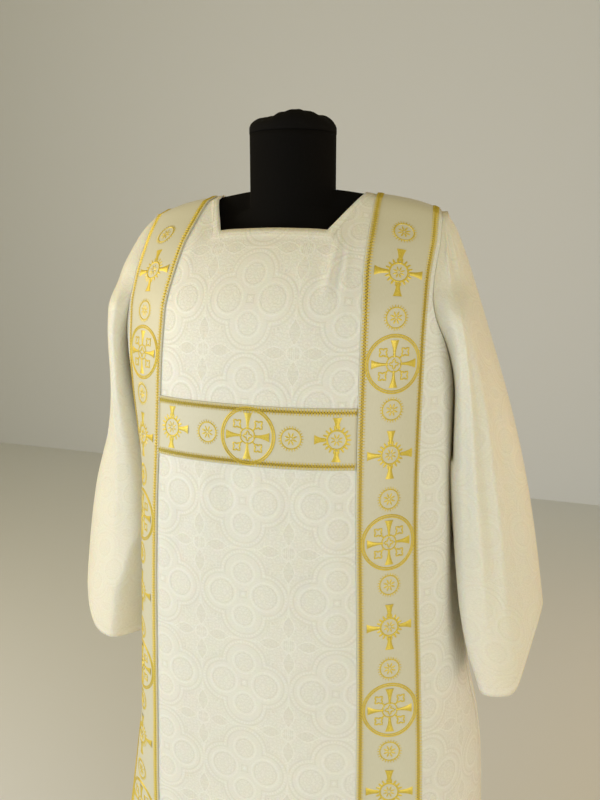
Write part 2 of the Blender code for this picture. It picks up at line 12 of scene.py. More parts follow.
import bpy
import numpy as np
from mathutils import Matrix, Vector

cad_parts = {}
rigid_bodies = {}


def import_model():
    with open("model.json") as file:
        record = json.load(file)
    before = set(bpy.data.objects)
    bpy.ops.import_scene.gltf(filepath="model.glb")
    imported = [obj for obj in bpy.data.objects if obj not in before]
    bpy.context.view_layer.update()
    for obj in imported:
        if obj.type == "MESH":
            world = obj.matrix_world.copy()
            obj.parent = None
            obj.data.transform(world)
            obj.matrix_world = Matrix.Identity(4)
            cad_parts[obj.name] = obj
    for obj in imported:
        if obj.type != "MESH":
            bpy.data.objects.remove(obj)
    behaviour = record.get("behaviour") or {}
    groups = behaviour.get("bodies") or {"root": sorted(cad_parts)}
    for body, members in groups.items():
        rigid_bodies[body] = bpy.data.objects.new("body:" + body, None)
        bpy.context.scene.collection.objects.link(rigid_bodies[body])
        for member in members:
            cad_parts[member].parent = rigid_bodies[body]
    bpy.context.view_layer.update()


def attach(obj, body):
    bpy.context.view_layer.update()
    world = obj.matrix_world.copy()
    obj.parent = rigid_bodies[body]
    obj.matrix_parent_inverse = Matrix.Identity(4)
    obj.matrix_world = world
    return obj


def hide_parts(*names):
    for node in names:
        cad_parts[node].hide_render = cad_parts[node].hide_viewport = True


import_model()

# ----------------------------------------------------------
# Front and back. Two panels of ivory damask, a worsted ground with a satin figure, cut as wide
# flared pieces and sewn together on the shoulders and below the armholes. The front has a
# trapezoid neckline. The stiff cloth keeps a few large smooth folds.

RIDGE_TOP = 1.462
HEM = 0.222
NECK_FRONT = 1.404
NECK_SIDE_AT_SHOULDER = 0.112
NECK_SIDE_AT_EDGE = 0.078
UNDERARM = 1.095
SHOULDER_STEEP_X = 0.2305
SLOPING_ROWS_END = 1.25
SECTION_POWER = 2.15
SEAM_GAP = 0.0003
CLOTH = 0.0012
CLAVUS_WIDTH = 0.091

BODY_COLUMNS = (
    "height", "right_half_width", "left_half_width", "front_depth", "back_depth", "right_power",
)
BODY_LEVELS = (
    (1.462, 0.01, 0.01, 0.006, 0.006, 2.15),
    (1.46, 0.06, 0.06, 0.009, 0.009, 2.15),
    (1.4525, 0.112, 0.112, 0.02, 0.019, 2.15),
    (1.4425, 0.17, 0.17, 0.034, 0.032, 2.15),
    (1.434, 0.198, 0.198, 0.044, 0.041, 2.15),
    (1.4275, 0.213, 0.213, 0.052, 0.048, 2.15),
    (1.418, 0.2235, 0.2235, 0.063, 0.058, 2.15),
    (1.404, 0.233, 0.2305, 0.08, 0.071, 2.15),
    (1.38, 0.244, 0.2355, 0.105, 0.09, 2.1),
    (1.34, 0.262, 0.238, 0.131, 0.109, 2.05),
    (1.29, 0.268, 0.2385, 0.153, 0.122, 2.05),
    (1.23, 0.259, 0.239, 0.163, 0.129, 2.25),
    (1.18, 0.246, 0.2395, 0.169, 0.132, 2.42),
    (1.115, 0.226, 0.24, 0.175, 0.134, 2.8),
    (1.05, 0.212, 0.2415, 0.18, 0.137, 3.3),
    (0.996, 0.2095, 0.245, 0.182, 0.14, 3.6),
    (0.878, 0.2095, 0.256, 0.183, 0.147, 4.05),
    (0.819, 0.2105, 0.266, 0.183, 0.15, 4.2),
    (0.745, 0.213, 0.28, 0.184, 0.154, 4.25),
    (0.69, 0.216, 0.293, 0.185, 0.157, 4.2),
    (0.62, 0.227, 0.302, 0.188, 0.161, 3.9),
    (0.5, 0.252, 0.308, 0.193, 0.168, 3.2),
    (0.2, 0.314, 0.326, 0.204, 0.184, 2.4),
)
RIDGE_ROWS = 8
CLAVUS_COLUMNS = ("level", "right_inner_edge", "left_inner_edge")
CLAVUS_LEVELS = (
    (1.462, 0.1235, 0.1275),
    (1.415, 0.1275, 0.133),
    (1.355, 0.1345, 0.1365),
    (1.29, 0.1425, 0.142),
    (1.115, 0.144, 0.1445),
    (0.996, 0.1455, 0.147),
    (0.878, 0.1485, 0.15),
    (0.2, 0.16, 0.16),
)
ARMHOLE_COLUMNS = ("level", "strip")
ARMHOLE_LEVELS = (
    (1.462, 0.006),
    (1.33, 0.007),
    (1.3, 0.013),
    (1.25, 0.036),
    (1.18, 0.064),
    (1.13, 0.082),
    (1.095, 0.096),
)
# Flutes of the skirt: middle across, half width, depth at the hem, level they start from.
FLUTES = {
    "front": (
        (-0.255, 0.05, 0.016, 0.62),
        (-0.085, 0.06, -0.012, 0.72),
        (0.07, 0.065, 0.015, 0.8),
        (0.25, 0.055, 0.018, 1.0),
    ),
    "back": (
        (-0.24, 0.055, 0.018, 0.95),
        (-0.075, 0.065, -0.014, 0.85),
        (0.085, 0.06, 0.016, 0.9),
        (0.255, 0.05, 0.015, 0.98),
    ),
}

# Creases, soft ridges (+) and troughs (-): top and foot (across the cloth, level), half width,
# height.
CREASES = {
    "front": (
        (0.101, 1.412, 0.091, 1.3, 0.007, 0.0038),
        (0.106, 1.405, 0.104, 1.31, 0.005, -0.0024),
        (0.108, 1.408, 0.119, 1.295, 0.006, 0.0022),
        (0.06, 1.372, 0.066, 1.32, 0.01, 0.001),
        (-0.108, 1.425, -0.12, 1.33, 0.01, 0.0016),
        (-0.03, 1.09, -0.024, 1.01, 0.011, -0.0016),
        (-0.062, 1.088, -0.06, 1.035, 0.008, 0.0013),
        (0.012, 1.088, 0.014, 1.045, 0.007, 0.001),
        (0.06, 1.085, 0.058, 0.99, 0.014, -0.0014),
        (-0.1, 1.085, -0.112, 0.88, 0.018, -0.0022),
        (0.118, 1.08, 0.128, 0.8, 0.018, 0.002),
        (0.278, 1.4, 0.288, 0.7, 0.03, 0.012),
    ),
    "back": (
        (-0.035, 1.395, -0.02, 1.25, 0.014, -0.0024),
        (0.055, 1.39, 0.03, 1.26, 0.012, -0.0018),
        (-0.09, 1.2, -0.105, 0.9, 0.02, 0.0022),
        (0.1, 1.15, 0.12, 0.85, 0.018, -0.002),
    ),
}
ROW_STEP = 0.0050
ROW_POINTS = 240
HALF_WIDTHS = (0.2, 0.36)
HALVINGS = 30
CREASE_FADES_IN, CREASE_FADES_OUT = 0.35, 0.45


class Curve:
    """A smooth curve through (knot, value) pairs that doesn't overshoot between them."""

    def __init__(self, knots, values):
        order = np.argsort(knots)
        self.knots = np.array(knots, float)[order]
        self.values = np.array(values, float)[order]
        steps = np.diff(self.knots)
        rises = np.diff(self.values) / steps
        self.slopes = np.concatenate([rises[:1], np.zeros(len(rises) - 1), rises[-1:]])
        for i in range(1, len(rises)):
            before, after = rises[i - 1], rises[i]
            if before * after > 0:
                w1 = 2 * steps[i] + steps[i - 1]
                w2 = steps[i] + 2 * steps[i - 1]
                self.slopes[i] = (w1 + w2) / (w1 / before + w2 / after)

    def __call__(self, where):
        where = np.clip(where, self.knots[0], self.knots[-1])
        i = np.clip(np.searchsorted(self.knots, where) - 1, 0, len(self.knots) - 2)
        step = self.knots[i + 1] - self.knots[i]
        t = (where - self.knots[i]) / step
        return (
            self.values[i] * (1 + 2 * t) * (1 - t) ** 2
            + self.slopes[i] * step * t * (1 - t) ** 2
            + self.values[i + 1] * t * t * (3 - 2 * t)
            + self.slopes[i + 1] * step * t * t * (t - 1)
        )


def table_curves(columns, rows):
    """One curve over the first column for each other named column."""
    knots = [row[0] for row in rows]
    return {
        name: Curve(knots, [row[i] for row in rows]) for i, name in enumerate(columns) if i
    }


BODY = table_curves(BODY_COLUMNS, BODY_LEVELS)
CLAVUS = table_curves(CLAVUS_COLUMNS, CLAVUS_LEVELS)
STRIP = table_curves(ARMHOLE_COLUMNS, ARMHOLE_LEVELS)["strip"]
RIDGE = Curve(
    [row[1] for row in BODY_LEVELS[:RIDGE_ROWS]],
    [row[0] for row in BODY_LEVELS[:RIDGE_ROWS]],
)


def ease(t):
    t = np.clip(t, 0.0, 1.0)
    return t * t * (3 - 2 * t)


def row_height(x, level):
    """A row follows the shoulder's slope at the top and is level below the chest."""
    fall = RIDGE_TOP - RIDGE(np.clip(np.abs(x), BODY_LEVELS[0][1], SHOULDER_STEEP_X))
    return level - fall * ease((level - SLOPING_ROWS_END) / (RIDGE_TOP - SLOPING_ROWS_END))


def row_line(level, panel, side):
    """Distances across one row from the middle to the side, and the points there."""
    width = BODY["left_half_width" if side > 0 else "right_half_width"]
    low, high = HALF_WIDTHS
    for _ in range(HALVINGS):
        middle = (low + high) / 2
        if width(row_height(middle, level)) > middle:
            low = middle
        else:
            high = middle
    x = low * np.sin(math.pi / 2 * (1 - np.linspace(1, 0, ROW_POINTS) ** 2))
    z = row_height(x, level)
    power = SECTION_POWER if side > 0 else BODY["right_power"](z)
    fill = np.maximum(1 - (x / width(z)) ** power, 0.0)
    fill[-1] = 0.0
    y = BODY[panel + "_depth"](z) * fill ** (1 / power)
    y = np.maximum(y, SEAM_GAP / 2) * (-1 if panel == "front" else 1)
    points = np.column_stack([side * x, y, z])
    return run_along(points), points


def run_along(points, axis=0):
    """How far it is along each line of a grid of points, from 0 at its first point."""
    steps = np.linalg.norm(np.diff(points, axis=axis), axis=-1)
    start = np.zeros_like(steps.take([0], axis))
    return np.concatenate([start, np.cumsum(steps, axis=axis)], axis=axis)


def stretch(marks, step):
    """Even values between marks, about a step apart, the marks themselves included."""
    parts = [
        np.linspace(a, b, max(int(round(abs(b - a) / step)), 1), endpoint=False)
        for a, b in zip(marks, marks[1:])
    ]
    return np.concatenate(parts + [marks[-1:]])


def outward(grid, turned_round=False):
    """Unit directions out of the cloth at each point of a grid."""
    out = np.cross(np.gradient(grid, axis=0), np.gradient(grid, axis=1))
    if turned_round:
        out = -out
    return out / np.maximum(np.linalg.norm(out, axis=2, keepdims=True), 1e-12)


def crease_rise(creases, across, level):
    """How far a piece's creases lift the cloth at each place."""
    rise = np.zeros(across.shape)
    for top_across, top_level, foot_across, foot_level, half_width, height in creases:
        top = np.array([top_across, top_level])
        run = np.array([foot_across, foot_level]) - top
        length = np.hypot(*run)
        away = np.stack([across, level], axis=-1) - top
        along = away @ run / length**2
        beside = (away[..., 0] * run[1] - away[..., 1] * run[0]) / length
        fade = ease(along / CREASE_FADES_IN) * ease((1 - along) / CREASE_FADES_OUT)
        rise += height * np.exp(-((beside / half_width) ** 2)) * fade
    return rise


# The columns of a panel fall into four stretches on each side: neck, chest, band and strip.
NECK_STEPS, CHEST_STEPS, BAND_STEPS, STRIP_STEPS = 18, 16, 20, 18
BAND_STARTS = NECK_STEPS + CHEST_STEPS
MIDDLE_COLUMN = BAND_STARTS + BAND_STEPS + STRIP_STEPS
NECK_HEM = 0.0105
HEM_STEP = 0.0012
HEM_RISE = 0.0006
SHOULDER_ROW = 1.455
CHEST_BAND_MIDDLE = 1.136
CHEST_BAND_WIDTH = 0.081
CHEST_BAND_TOP = CHEST_BAND_MIDDLE + CHEST_BAND_WIDTH / 2
CHEST_BAND_FOOT = CHEST_BAND_MIDDLE - CHEST_BAND_WIDTH / 2
PANEL_ROWS = stretch(
    np.array([
        RIDGE_TOP, SHOULDER_ROW, NECK_FRONT, NECK_FRONT - NECK_HEM,
        NECK_FRONT - NECK_HEM - HEM_STEP, SLOPING_ROWS_END, CHEST_BAND_TOP, CHEST_BAND_FOOT, HEM,
    ]),
    ROW_STEP,
)


def row_at(level):
    """The panel row that lies at a level."""
    return int(np.argmin(np.abs(PANEL_ROWS - level)))


NECK_ROW = row_at(NECK_FRONT)
UNDERARM_ROW = row_at(CHEST_BAND_FOOT)


def neck_side(level):
    """How far across the cloth the neckline's side lies at a level."""
    share = np.clip((level - NECK_FRONT) / (RIDGE_TOP - NECK_FRONT), 0, 1)
    return NECK_SIDE_AT_EDGE + share * (NECK_SIDE_AT_SHOULDER - NECK_SIDE_AT_EDGE)


def panel_columns(level, whole, side):
    """Distances across the cloth of one side's columns, from the middle to the side."""
    neck = neck_side(level)
    inner = float(CLAVUS["left_inner_edge" if side > 0 else "right_inner_edge"](level))
    outer = inner + CLAVUS_WIDTH
    edge = whole - SEAM_GAP / 2
    if level > UNDERARM + 1e-6:
        edge = min(outer + float(STRIP(level)), edge)
    return np.concatenate([
        np.linspace(0, neck, NECK_STEPS, endpoint=False),
        neck + np.array([0.0, NECK_HEM / 2, NECK_HEM]),
        np.linspace(neck + NECK_HEM + HEM_STEP, inner, CHEST_STEPS - 3, endpoint=False),
        np.linspace(inner, outer, BAND_STEPS, endpoint=False),
        np.linspace(outer, edge, STRIP_STEPS + 1),
    ])


def neck_hem(across, level):
    """1 on the cloth turned under round the neck, 0 beyond its stitches."""
    away = np.maximum(np.abs(across) - neck_side(level), NECK_FRONT - level)
    return np.clip((NECK_HEM + HEM_STEP - away) / HEM_STEP, 0, 1)


def panel_surface(panel):
    """A panel's outer face: points and outward directions by row and column, and its maps."""
    rows = []
    for row in PANEL_ROWS:
        halves = []
        for side in (-1, 1):
            length, line = row_line(row, panel, side)
            columns = panel_columns(row, length[-1], side)
            spots = np.column_stack([np.interp(columns, length, line[:, k]) for k in range(3)])
            halves.append((spots, side * columns))
        rows.append([np.concatenate([right[::-1], left[1:]]) for right, left in zip(*halves)])
    base, across = (np.array(part) for part in zip(*rows))
    level = np.broadcast_to(PANEL_ROWS[:, None], across.shape)
    hem = neck_hem(across, level)
    push = crease_rise(CREASES[panel], across, level) + HEM_RISE * hem
    for middle, half_width, depth, starts in FLUTES[panel]:
        grown = ease((starts - level) / (starts - HEM))
        push += depth * grown * np.exp(-(((across - middle) / half_width) ** 2))
    surface = base + outward(base, panel == "back") * push[..., None]
    down = run_along(surface)[:, MIDDLE_COLUMN + BAND_STARTS]
    cut = np.stack([across, np.broadcast_to(-down[:, None], across.shape)], axis=-1)
    turned = np.stack([hem, np.zeros(across.shape)], axis=-1)
    return surface, outward(surface, panel == "back"), cut, turned


def in_scene(name, data):
    """An object for a mesh, a light or a camera, linked to the scene."""
    made = bpy.data.objects.new(name, data)
    bpy.context.scene.collection.objects.link(made)
    return made


def meshed(name, points, faces, finish=None):
    """An object of smooth faces in one finish."""
    mesh = bpy.data.meshes.new(name)
    mesh.from_pydata(points, [], faces)
    if finish:
        mesh.materials.append(finish)
    mesh.shade_smooth()
    return in_scene(name, mesh)


def fitted(piece, node):
    """Puts a piece in the frame: on its body and in a solid's stead."""
    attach(piece, "root")
    if node:
        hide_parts(node)


def grid_quads(rows, columns, rows_close=False, columns_close=False):
    """The quads between the points of a grid, closed on itself where asked."""
    index = np.arange(rows * columns).reshape(rows, columns)
    if rows_close:
        index = np.concatenate([index, index[:1]])
    if columns_close:
        index = np.concatenate([index, index[:, :1]], axis=1)
    return np.stack([index[:-1, :-1], index[:-1, 1:], index[1:, 1:], index[1:, :-1]], axis=-1)


grounds = {}


def cut_sheet(node, points, maps, finish, turned_round=False, kept=None):
    """Makes the cloth in a node's stead: an open sheet of quads on a grid, with its UV maps."""
    rows, columns = points.shape[:2]
    quads = grid_quads(rows, columns)[..., [0, 3, 2, 1]]
    if turned_round:
        quads = quads[..., ::-1]
    quads = quads[kept] if kept is not None else quads.reshape(-1, 4)
    used = np.unique(quads)
    place = np.zeros(rows * columns, int)
    place[used] = np.arange(len(used))
    made = meshed(node + "_cloth", points.reshape(-1, 3)[used], place[quads].tolist(), finish)
    for name, values in maps.items():
        layer = made.data.uv_layers.new(name=name)
        layer.data.foreach_set("uv", values.reshape(-1, 2)[quads.ravel()].ravel())
    fitted(made, node)
    grounds[node] = made


def linear(colour):
    """An sRGB hex colour as linear red, green, blue and alpha."""
    parts = [int(colour[i:i + 2], 16) / 255 for i in (1, 3, 5)]
    return tuple(p / 12.92 if p < 0.04045 else ((p + 0.055) / 1.055) ** 2.4 for p in parts) + (1.0,)


MATH, VECTOR_MATH, RANGE = "ShaderNodeMath", "ShaderNodeVectorMath", "ShaderNodeMapRange"


def set_inputs(node, sockets):
    """Sets or links a node's inputs, given in order or by name."""
    for key, value in sockets.items() if isinstance(sockets, dict) else enumerate(sockets):
        if isinstance(value, bpy.types.NodeSocket):
            node.id_data.links.new(value, node.inputs[key])
        else:
            node.inputs[key].default_value = value


def add_node(tree, kind, sockets=(), out=0, **settings):
    """Adds a node with its settings, sets or links its inputs and returns one of its outputs."""
    made = tree.nodes.new(kind)
    for name, value in settings.items():
        setattr(made, name, value)
    set_inputs(made, sockets)
    return made.outputs[out]


def new_material(name):
    """A new material, its shader, and the way to add nodes to it."""
    made = bpy.data.materials.new(name)
    made.use_nodes = True
    return made, made.node_tree.nodes["Principled BSDF"], partial(add_node, made.node_tree)


# The damask's repeat: a quatrefoil with a beaded border between two dark lines, a pale ring
# round scrolls in every lobe, and a star of four petals where four quatrefoils meet.
DAMASK_REPEAT = (0.1300, 0.1325)
DAMASK_START = (-0.0060, -0.1935)
DAMASK_LOWER_ON_BACK = 0.041
LOBE_CENTRE = 0.0315
LOBE_RADIUS = 0.0335
SIDE_RING, UPRIGHT_RING = 0.0200, 0.0165
RING_HALF = 0.0016
RING_LINE_IN, RING_LINE_HALF = -0.0034, 0.0006
PETAL_START, PETAL_END, PETAL_WIDTH = 0.0110, 0.0420, 0.0072
PETAL_LINE_OUT, PETAL_LINE_HALF = 0.0008, 0.0007
HUB_RADIUS, HUB_LINE_HALF, REEDS_TO_HUB = 0.0100, 0.0010, 0.0012
LEAF_SIZE = 0.0050
LEAF_CURL = 1.6
BEADS_ROUND = 44.0
REED_TURN = 2240.0
THREADS_PER_METRE = (260, 900, 1)
# How far out from the quatrefoil's edge: the line on it, the teeth, the beads, the inner line.
EDGE_LINE_HALF = 0.0011
TEETH_OUT, TEETH_HALF, TEETH_REACH = 0.0042, 0.0019, 0.013
BEADS_OUT, BEADS_HALF = -0.0034, 0.0013
INNER_LINE_OUT, INNER_LINE_HALF = -0.0066, 0.0008


def stripe(add, value, middle, half_width, soft=0.0005):
    """1 where a value lies within half a width of the middle, fading over soft."""
    off = add(MATH, [value, middle], operation="SUBTRACT")
    off = add(MATH, [off], operation="ABSOLUTE")
    return add(RANGE, [off, half_width + soft, half_width - soft])


def repeat_cell(add, cut, shift):
    """The place in the nearest repeat, from its middle, with all quarters folded on one."""
    place = cut
    for work, by in (
        ("SUBTRACT", [a - b * shift for a, b in zip(DAMASK_START, DAMASK_REPEAT)] + [0.0]),
        ("DIVIDE", (*DAMASK_REPEAT, 1.0)), ("FRACTION", None), ("SUBTRACT", (0.5, 0.5, 0.0)),
        ("MULTIPLY", (*DAMASK_REPEAT, 0.0)), ("ABSOLUTE", None),
    ):
        place = add(VECTOR_MATH, [place, by] if by else [place], operation=work)
    return place


def distance_from(add, place, centre):
    """The place measured from a centre, and its distance from it."""
    moved = add(VECTOR_MATH, [place, (*centre, 0.0)], operation="SUBTRACT")
    return moved, add(VECTOR_MATH, [moved], out=1, operation="LENGTH")


def damask_figure(add, cut):
    """The weave at each place of the cut: 0 in the sunk lines, 0.5 on the ground, 1 in satin."""
    folded = repeat_cell(add, cut, 0.5)
    side_moved, side = distance_from(add, folded, (LOBE_CENTRE, 0.0))
    upright_moved, upright = distance_from(add, folded, (0.0, LOBE_CENTRE))
    is_side = add(MATH, [side, upright], operation="LESS_THAN")
    in_lobe = add(MATH, [side, upright], operation="MINIMUM")
    border = add(MATH, [in_lobe, LOBE_RADIUS], operation="SUBTRACT")
    from_lobe = add("ShaderNodeMix", {0: is_side, 4: upright_moved, 5: side_moved}, out=1,
                    data_type="VECTOR")
    x = add("ShaderNodeSeparateXYZ", [from_lobe])
    turn = add(MATH, [x.node.outputs[1], x], operation="ARCTAN2")
    beads = add(MATH, [turn, BEADS_ROUND], operation="MULTIPLY")
    beads = add(MATH, [beads], operation="COSINE")
    beads = add(RANGE, [beads, -0.4, 0.4])
    ring = add(MATH, [is_side, SIDE_RING - UPRIGHT_RING, UPRIGHT_RING], operation="MULTIPLY_ADD")
    in_ring = add(MATH, [in_lobe, ring], operation="SUBTRACT")
    x = add("ShaderNodeSeparateXYZ", [folded])
    off_corner = add(MATH, [x, x.node.outputs[1]], operation="SUBTRACT")
    teeth = [stripe(add, off_corner, 0.0, TEETH_REACH), stripe(add, border, TEETH_OUT, TEETH_HALF)]
    teeth = add(MATH, teeth, operation="MULTIPLY")

    star = repeat_cell(add, cut, 0.0)
    x = add("ShaderNodeSeparateXYZ", [star])
    along, beside = (add(MATH, [x, x.node.outputs[1]], operation=work)
                     for work in ("MAXIMUM", "MINIMUM"))
    petal = add(RANGE, [along, PETAL_START, PETAL_END, 0.0, math.pi])
    petal = add(MATH, [petal], operation="SINE")
    petal = add(MATH, [petal, PETAL_WIDTH], operation="MULTIPLY")
    over = add(MATH, [beside, petal], operation="SUBTRACT")
    _, hub = distance_from(add, star, (0.0, 0.0))
    reeds = add(MATH, [x, REED_TURN], operation="MULTIPLY")
    reeds = add(MATH, [reeds], operation="COSINE")
    reeds = [add(RANGE, [reeds, -0.5]), stripe(add, hub, 0.0, HUB_RADIUS - REEDS_TO_HUB)]

    pale = stripe(add, in_ring, 0.0, RING_HALF, soft=0.0012)
    beaded = [beads, stripe(add, border, BEADS_OUT, BEADS_HALF)]
    for more in (
        add(MATH, beaded, operation="MULTIPLY"),
        stripe(add, over, PETAL_LINE_OUT, PETAL_LINE_HALF),
        stripe(add, hub, HUB_RADIUS, HUB_LINE_HALF),
    ):
        pale = add(MATH, [pale, more], operation="MAXIMUM")
    sunk = stripe(add, border, 0.0, EDGE_LINE_HALF, soft=0.0008)
    for more in (
        stripe(add, border, INNER_LINE_OUT, INNER_LINE_HALF, soft=0.0007),
        stripe(add, in_ring, RING_LINE_IN, RING_LINE_HALF),
        add(MATH, [beads, teeth], operation="MULTIPLY"),
        add(RANGE, [over, 0.0002, -0.0008, 0.0, 0.65]),
        add(MATH, reeds, operation="MULTIPLY"),
    ):
        sunk = add(MATH, [sunk, more], operation="MAXIMUM")

    near_ring = stripe(add, in_ring, -0.05, 0.048)
    place = add("ShaderNodeMix", {0: near_ring, 4: star, 5: from_lobe}, out=1, data_type="VECTOR")
    place = add(VECTOR_MATH, [place, (1 / LEAF_SIZE, 1 / LEAF_SIZE, 1.0)], operation="MULTIPLY")
    curled = add("ShaderNodeTexNoise", {"Vector": place, "Scale": 0.8}, out=1)
    place = add(VECTOR_MATH, [curled, (LEAF_CURL, LEAF_CURL, 0.0), place],
                operation="MULTIPLY_ADD")
    leaves = add("ShaderNodeTexVoronoi", {"Vector": place, "Scale": 1.0},
                 feature="DISTANCE_TO_EDGE", voronoi_dimensions="2D")
    leaves = add(RANGE, [leaves, 0.05, 0.25, -0.24, 0.20])
    bare = [stripe(add, border, -0.0150, 0.0175), stripe(add, in_ring, 0.0, 0.0042)]
    bare = add(MATH, bare, operation="MAXIMUM")
    outside = add(MATH, [in_ring, 0.0], operation="GREATER_THAN")
    bare = add(MATH, [bare, outside], operation="MULTIPLY")
    leafy = add(MATH, [1.0, bare], operation="SUBTRACT")
    leaves = add(MATH, [leaves, leafy], operation="MULTIPLY")
    raised = add(MATH, [pale, sunk], operation="SUBTRACT")
    raised = add(MATH, [raised, 0.5, leaves], operation="MULTIPLY_ADD")
    return add(MATH, [raised, 0.5], operation="ADD")


def brocade_material(name, sunk, raised):
    """Damask of fine worsted and rayon: a dull ground and a satin figure of the same ivory."""
    made, shader, add = new_material(name)
    cut = add("ShaderNodeUVMap", uv_map="cut")
    figure = damask_figure(add, cut)
    threads = add("ShaderNodeMapping", {"Vector": cut, "Scale": THREADS_PER_METRE})
    slubs, cloudy = (
        add("ShaderNodeTexNoise", {"Vector": place, "Scale": scale, "Detail": detail,
                                   "Roughness": rough})
        for place, scale, detail, rough in ((threads, 1.0, 2.0, 0.6), (cut, 9.0, 3.0, 0.5))
    )
    tone = add("ShaderNodeMix", {0: figure, 6: linear(sunk), 7: linear(raised)}, out=2,
               data_type="RGBA")
    uneven = add(RANGE, [slubs, 0.3, 0.7, 0.94, 1.04])
    mottled = add(RANGE, [cloudy, 0.3, 0.7, 0.985, 1.015])
    turned = add("ShaderNodeUVMap", uv_map="turned_under")
    turned = add("ShaderNodeSeparateXYZ", [turned])
    doubled = add(MATH, [turned, 0.07, 1.0], operation="MULTIPLY_ADD")
    shade = add(MATH, [uneven, mottled], operation="MULTIPLY")
    shade = add(MATH, [shade, doubled], operation="MULTIPLY")
    grey = add("ShaderNodeCombineXYZ", [shade, shade, shade])
    colour = add("ShaderNodeMix", {0: 1.0, 6: tone, 7: grey}, out=2, data_type="RGBA",
                 blend_type="MULTIPLY")
    height = add(MATH, [slubs, 0.35, figure], operation="MULTIPLY_ADD")
    set_inputs(shader, {
        "Base Color": colour,
        "Roughness": add(RANGE, [figure, 0.0, 1.0, 0.66, 0.40]),
        "Normal": add("ShaderNodeBump", {"Height": height, "Strength": 0.45, "Distance": 0.0006}),
        "Subsurface Weight": 0.35,
        "Subsurface Radius": (1.0, 0.55, 0.22),
        "Subsurface Scale": 0.004,
        "Sheen Weight": 0.25,
        "Sheen Roughness": 0.4,
        "Sheen Tint": linear("#fff2cf"),
        "Specular IOR Level": 0.45,
    })
    return made


brocade = brocade_material("ivory damask woven", "#d9d6ca", "#e6e4da")
panels = {}
for panel in ("front", "back"):
    surface, out, cut, turned = panel_surface(panel)
    if panel == "back":
        cut[..., 1] -= DAMASK_LOWER_ON_BACK
    panels[panel] = (surface, out, cut)
    cells = np.ones((surface.shape[0] - 1, surface.shape[1] - 1), bool)
    cells[:NECK_ROW, MIDDLE_COLUMN - NECK_STEPS:MIDDLE_COLUMN + NECK_STEPS] = False
    maps = {"cut": cut, "turned_under": turned}
    cut_sheet(panel, surface, maps, brocade, panel == "back", cells)

# ----------------------------------------------------------
# Sleeves. Wide straight sleeves of the same damask, set into the dropped armholes and hanging
# empty beside the body, each folded flat from its front fold round the arm's outside to its
# back fold, with a plain cuff hem. Their copy of the damask is warmer and its figure fainter:
# the warmth is painted warm light.

SLEEVE_COLUMNS = (
    "height", "front_fold_x", "front_fold_y", "outer_x", "outer_y",
    "back_fold_x", "back_fold_y", "under_x",
)
LEFT_SLEEVE = (
    (1.422, 0.2205, -0.003, 0.2225, 0.0, 0.2205, 0.003, 0.219),
    (1.404, 0.227, -0.022, 0.2345, 0.0, 0.227, 0.02, 0.219),
    (1.376, 0.231, -0.04, 0.246, 0.004, 0.232, 0.036, 0.22),
    (1.339, 0.239, -0.061, 0.259, 0.008, 0.236, 0.05, 0.22),
    (1.295, 0.249, -0.082, 0.274, 0.01, 0.241, 0.064, 0.22),
    (1.25, 0.257, -0.087, 0.289, 0.012, 0.247, 0.072, 0.23),
    (1.18, 0.261, -0.082, 0.312, 0.014, 0.255, 0.076, 0.231),
    (1.095, 0.261, -0.076, 0.336, 0.014, 0.264, 0.08, 0.232),
    (1.0, 0.267, -0.078, 0.357, 0.014, 0.272, 0.086, 0.242),
    (0.9, 0.275, -0.083, 0.374, 0.014, 0.281, 0.092, 0.262),
    (0.845, 0.2845, -0.086, 0.382, 0.014, 0.29, 0.095, 0.28),
    (0.782, 0.306, -0.09, 0.39, 0.014, 0.308, 0.099, 0.295),
    (0.75, 0.315, -0.091, 0.394, 0.014, 0.316, 0.1, 0.301),
)
RIGHT_SLEEVE = (
    (1.422, 0.2205, -0.003, 0.223, 0.0, 0.2205, 0.003, 0.219),
    (1.404, 0.229, -0.024, 0.24, -0.002, 0.229, 0.02, 0.219),
    (1.376, 0.235, -0.048, 0.257, -0.004, 0.237, 0.036, 0.22),
    (1.339, 0.24, -0.076, 0.274, -0.006, 0.244, 0.05, 0.22),
    (1.295, 0.245, -0.094, 0.282, -0.006, 0.25, 0.062, 0.22),
    (1.25, 0.25, -0.094, 0.285, -0.004, 0.254, 0.07, 0.23),
    (1.18, 0.249, -0.09, 0.288, 0.0, 0.256, 0.076, 0.233),
    (1.095, 0.235, -0.088, 0.313, 0.004, 0.254, 0.08, 0.2235),
    (1.05, 0.228, -0.087, 0.333, 0.006, 0.249, 0.083, 0.218),
    (1.0, 0.2235, -0.087, 0.352, 0.008, 0.247, 0.086, 0.2155),
    (0.9, 0.2235, -0.089, 0.374, 0.01, 0.252, 0.092, 0.216),
    (0.8, 0.228, -0.092, 0.389, 0.012, 0.264, 0.096, 0.2195),
    (0.75, 0.231, -0.093, 0.395, 0.012, 0.27, 0.098, 0.2225),
)
FACE_REACH = 0.62
FACE_DEPTH = 0.80
FOLDS_START = 1.285
FOLDS_END = 1.345
CUFF_LOW = {"left": 0.779, "right": 0.756}
CUFF_RISE = 0.095
CUFF_RISE_STARTS = 0.28
SPAN_STEPS = 16
SEAM_SHOWS = 0.00012
CUFF_STITCH_ROW = -4

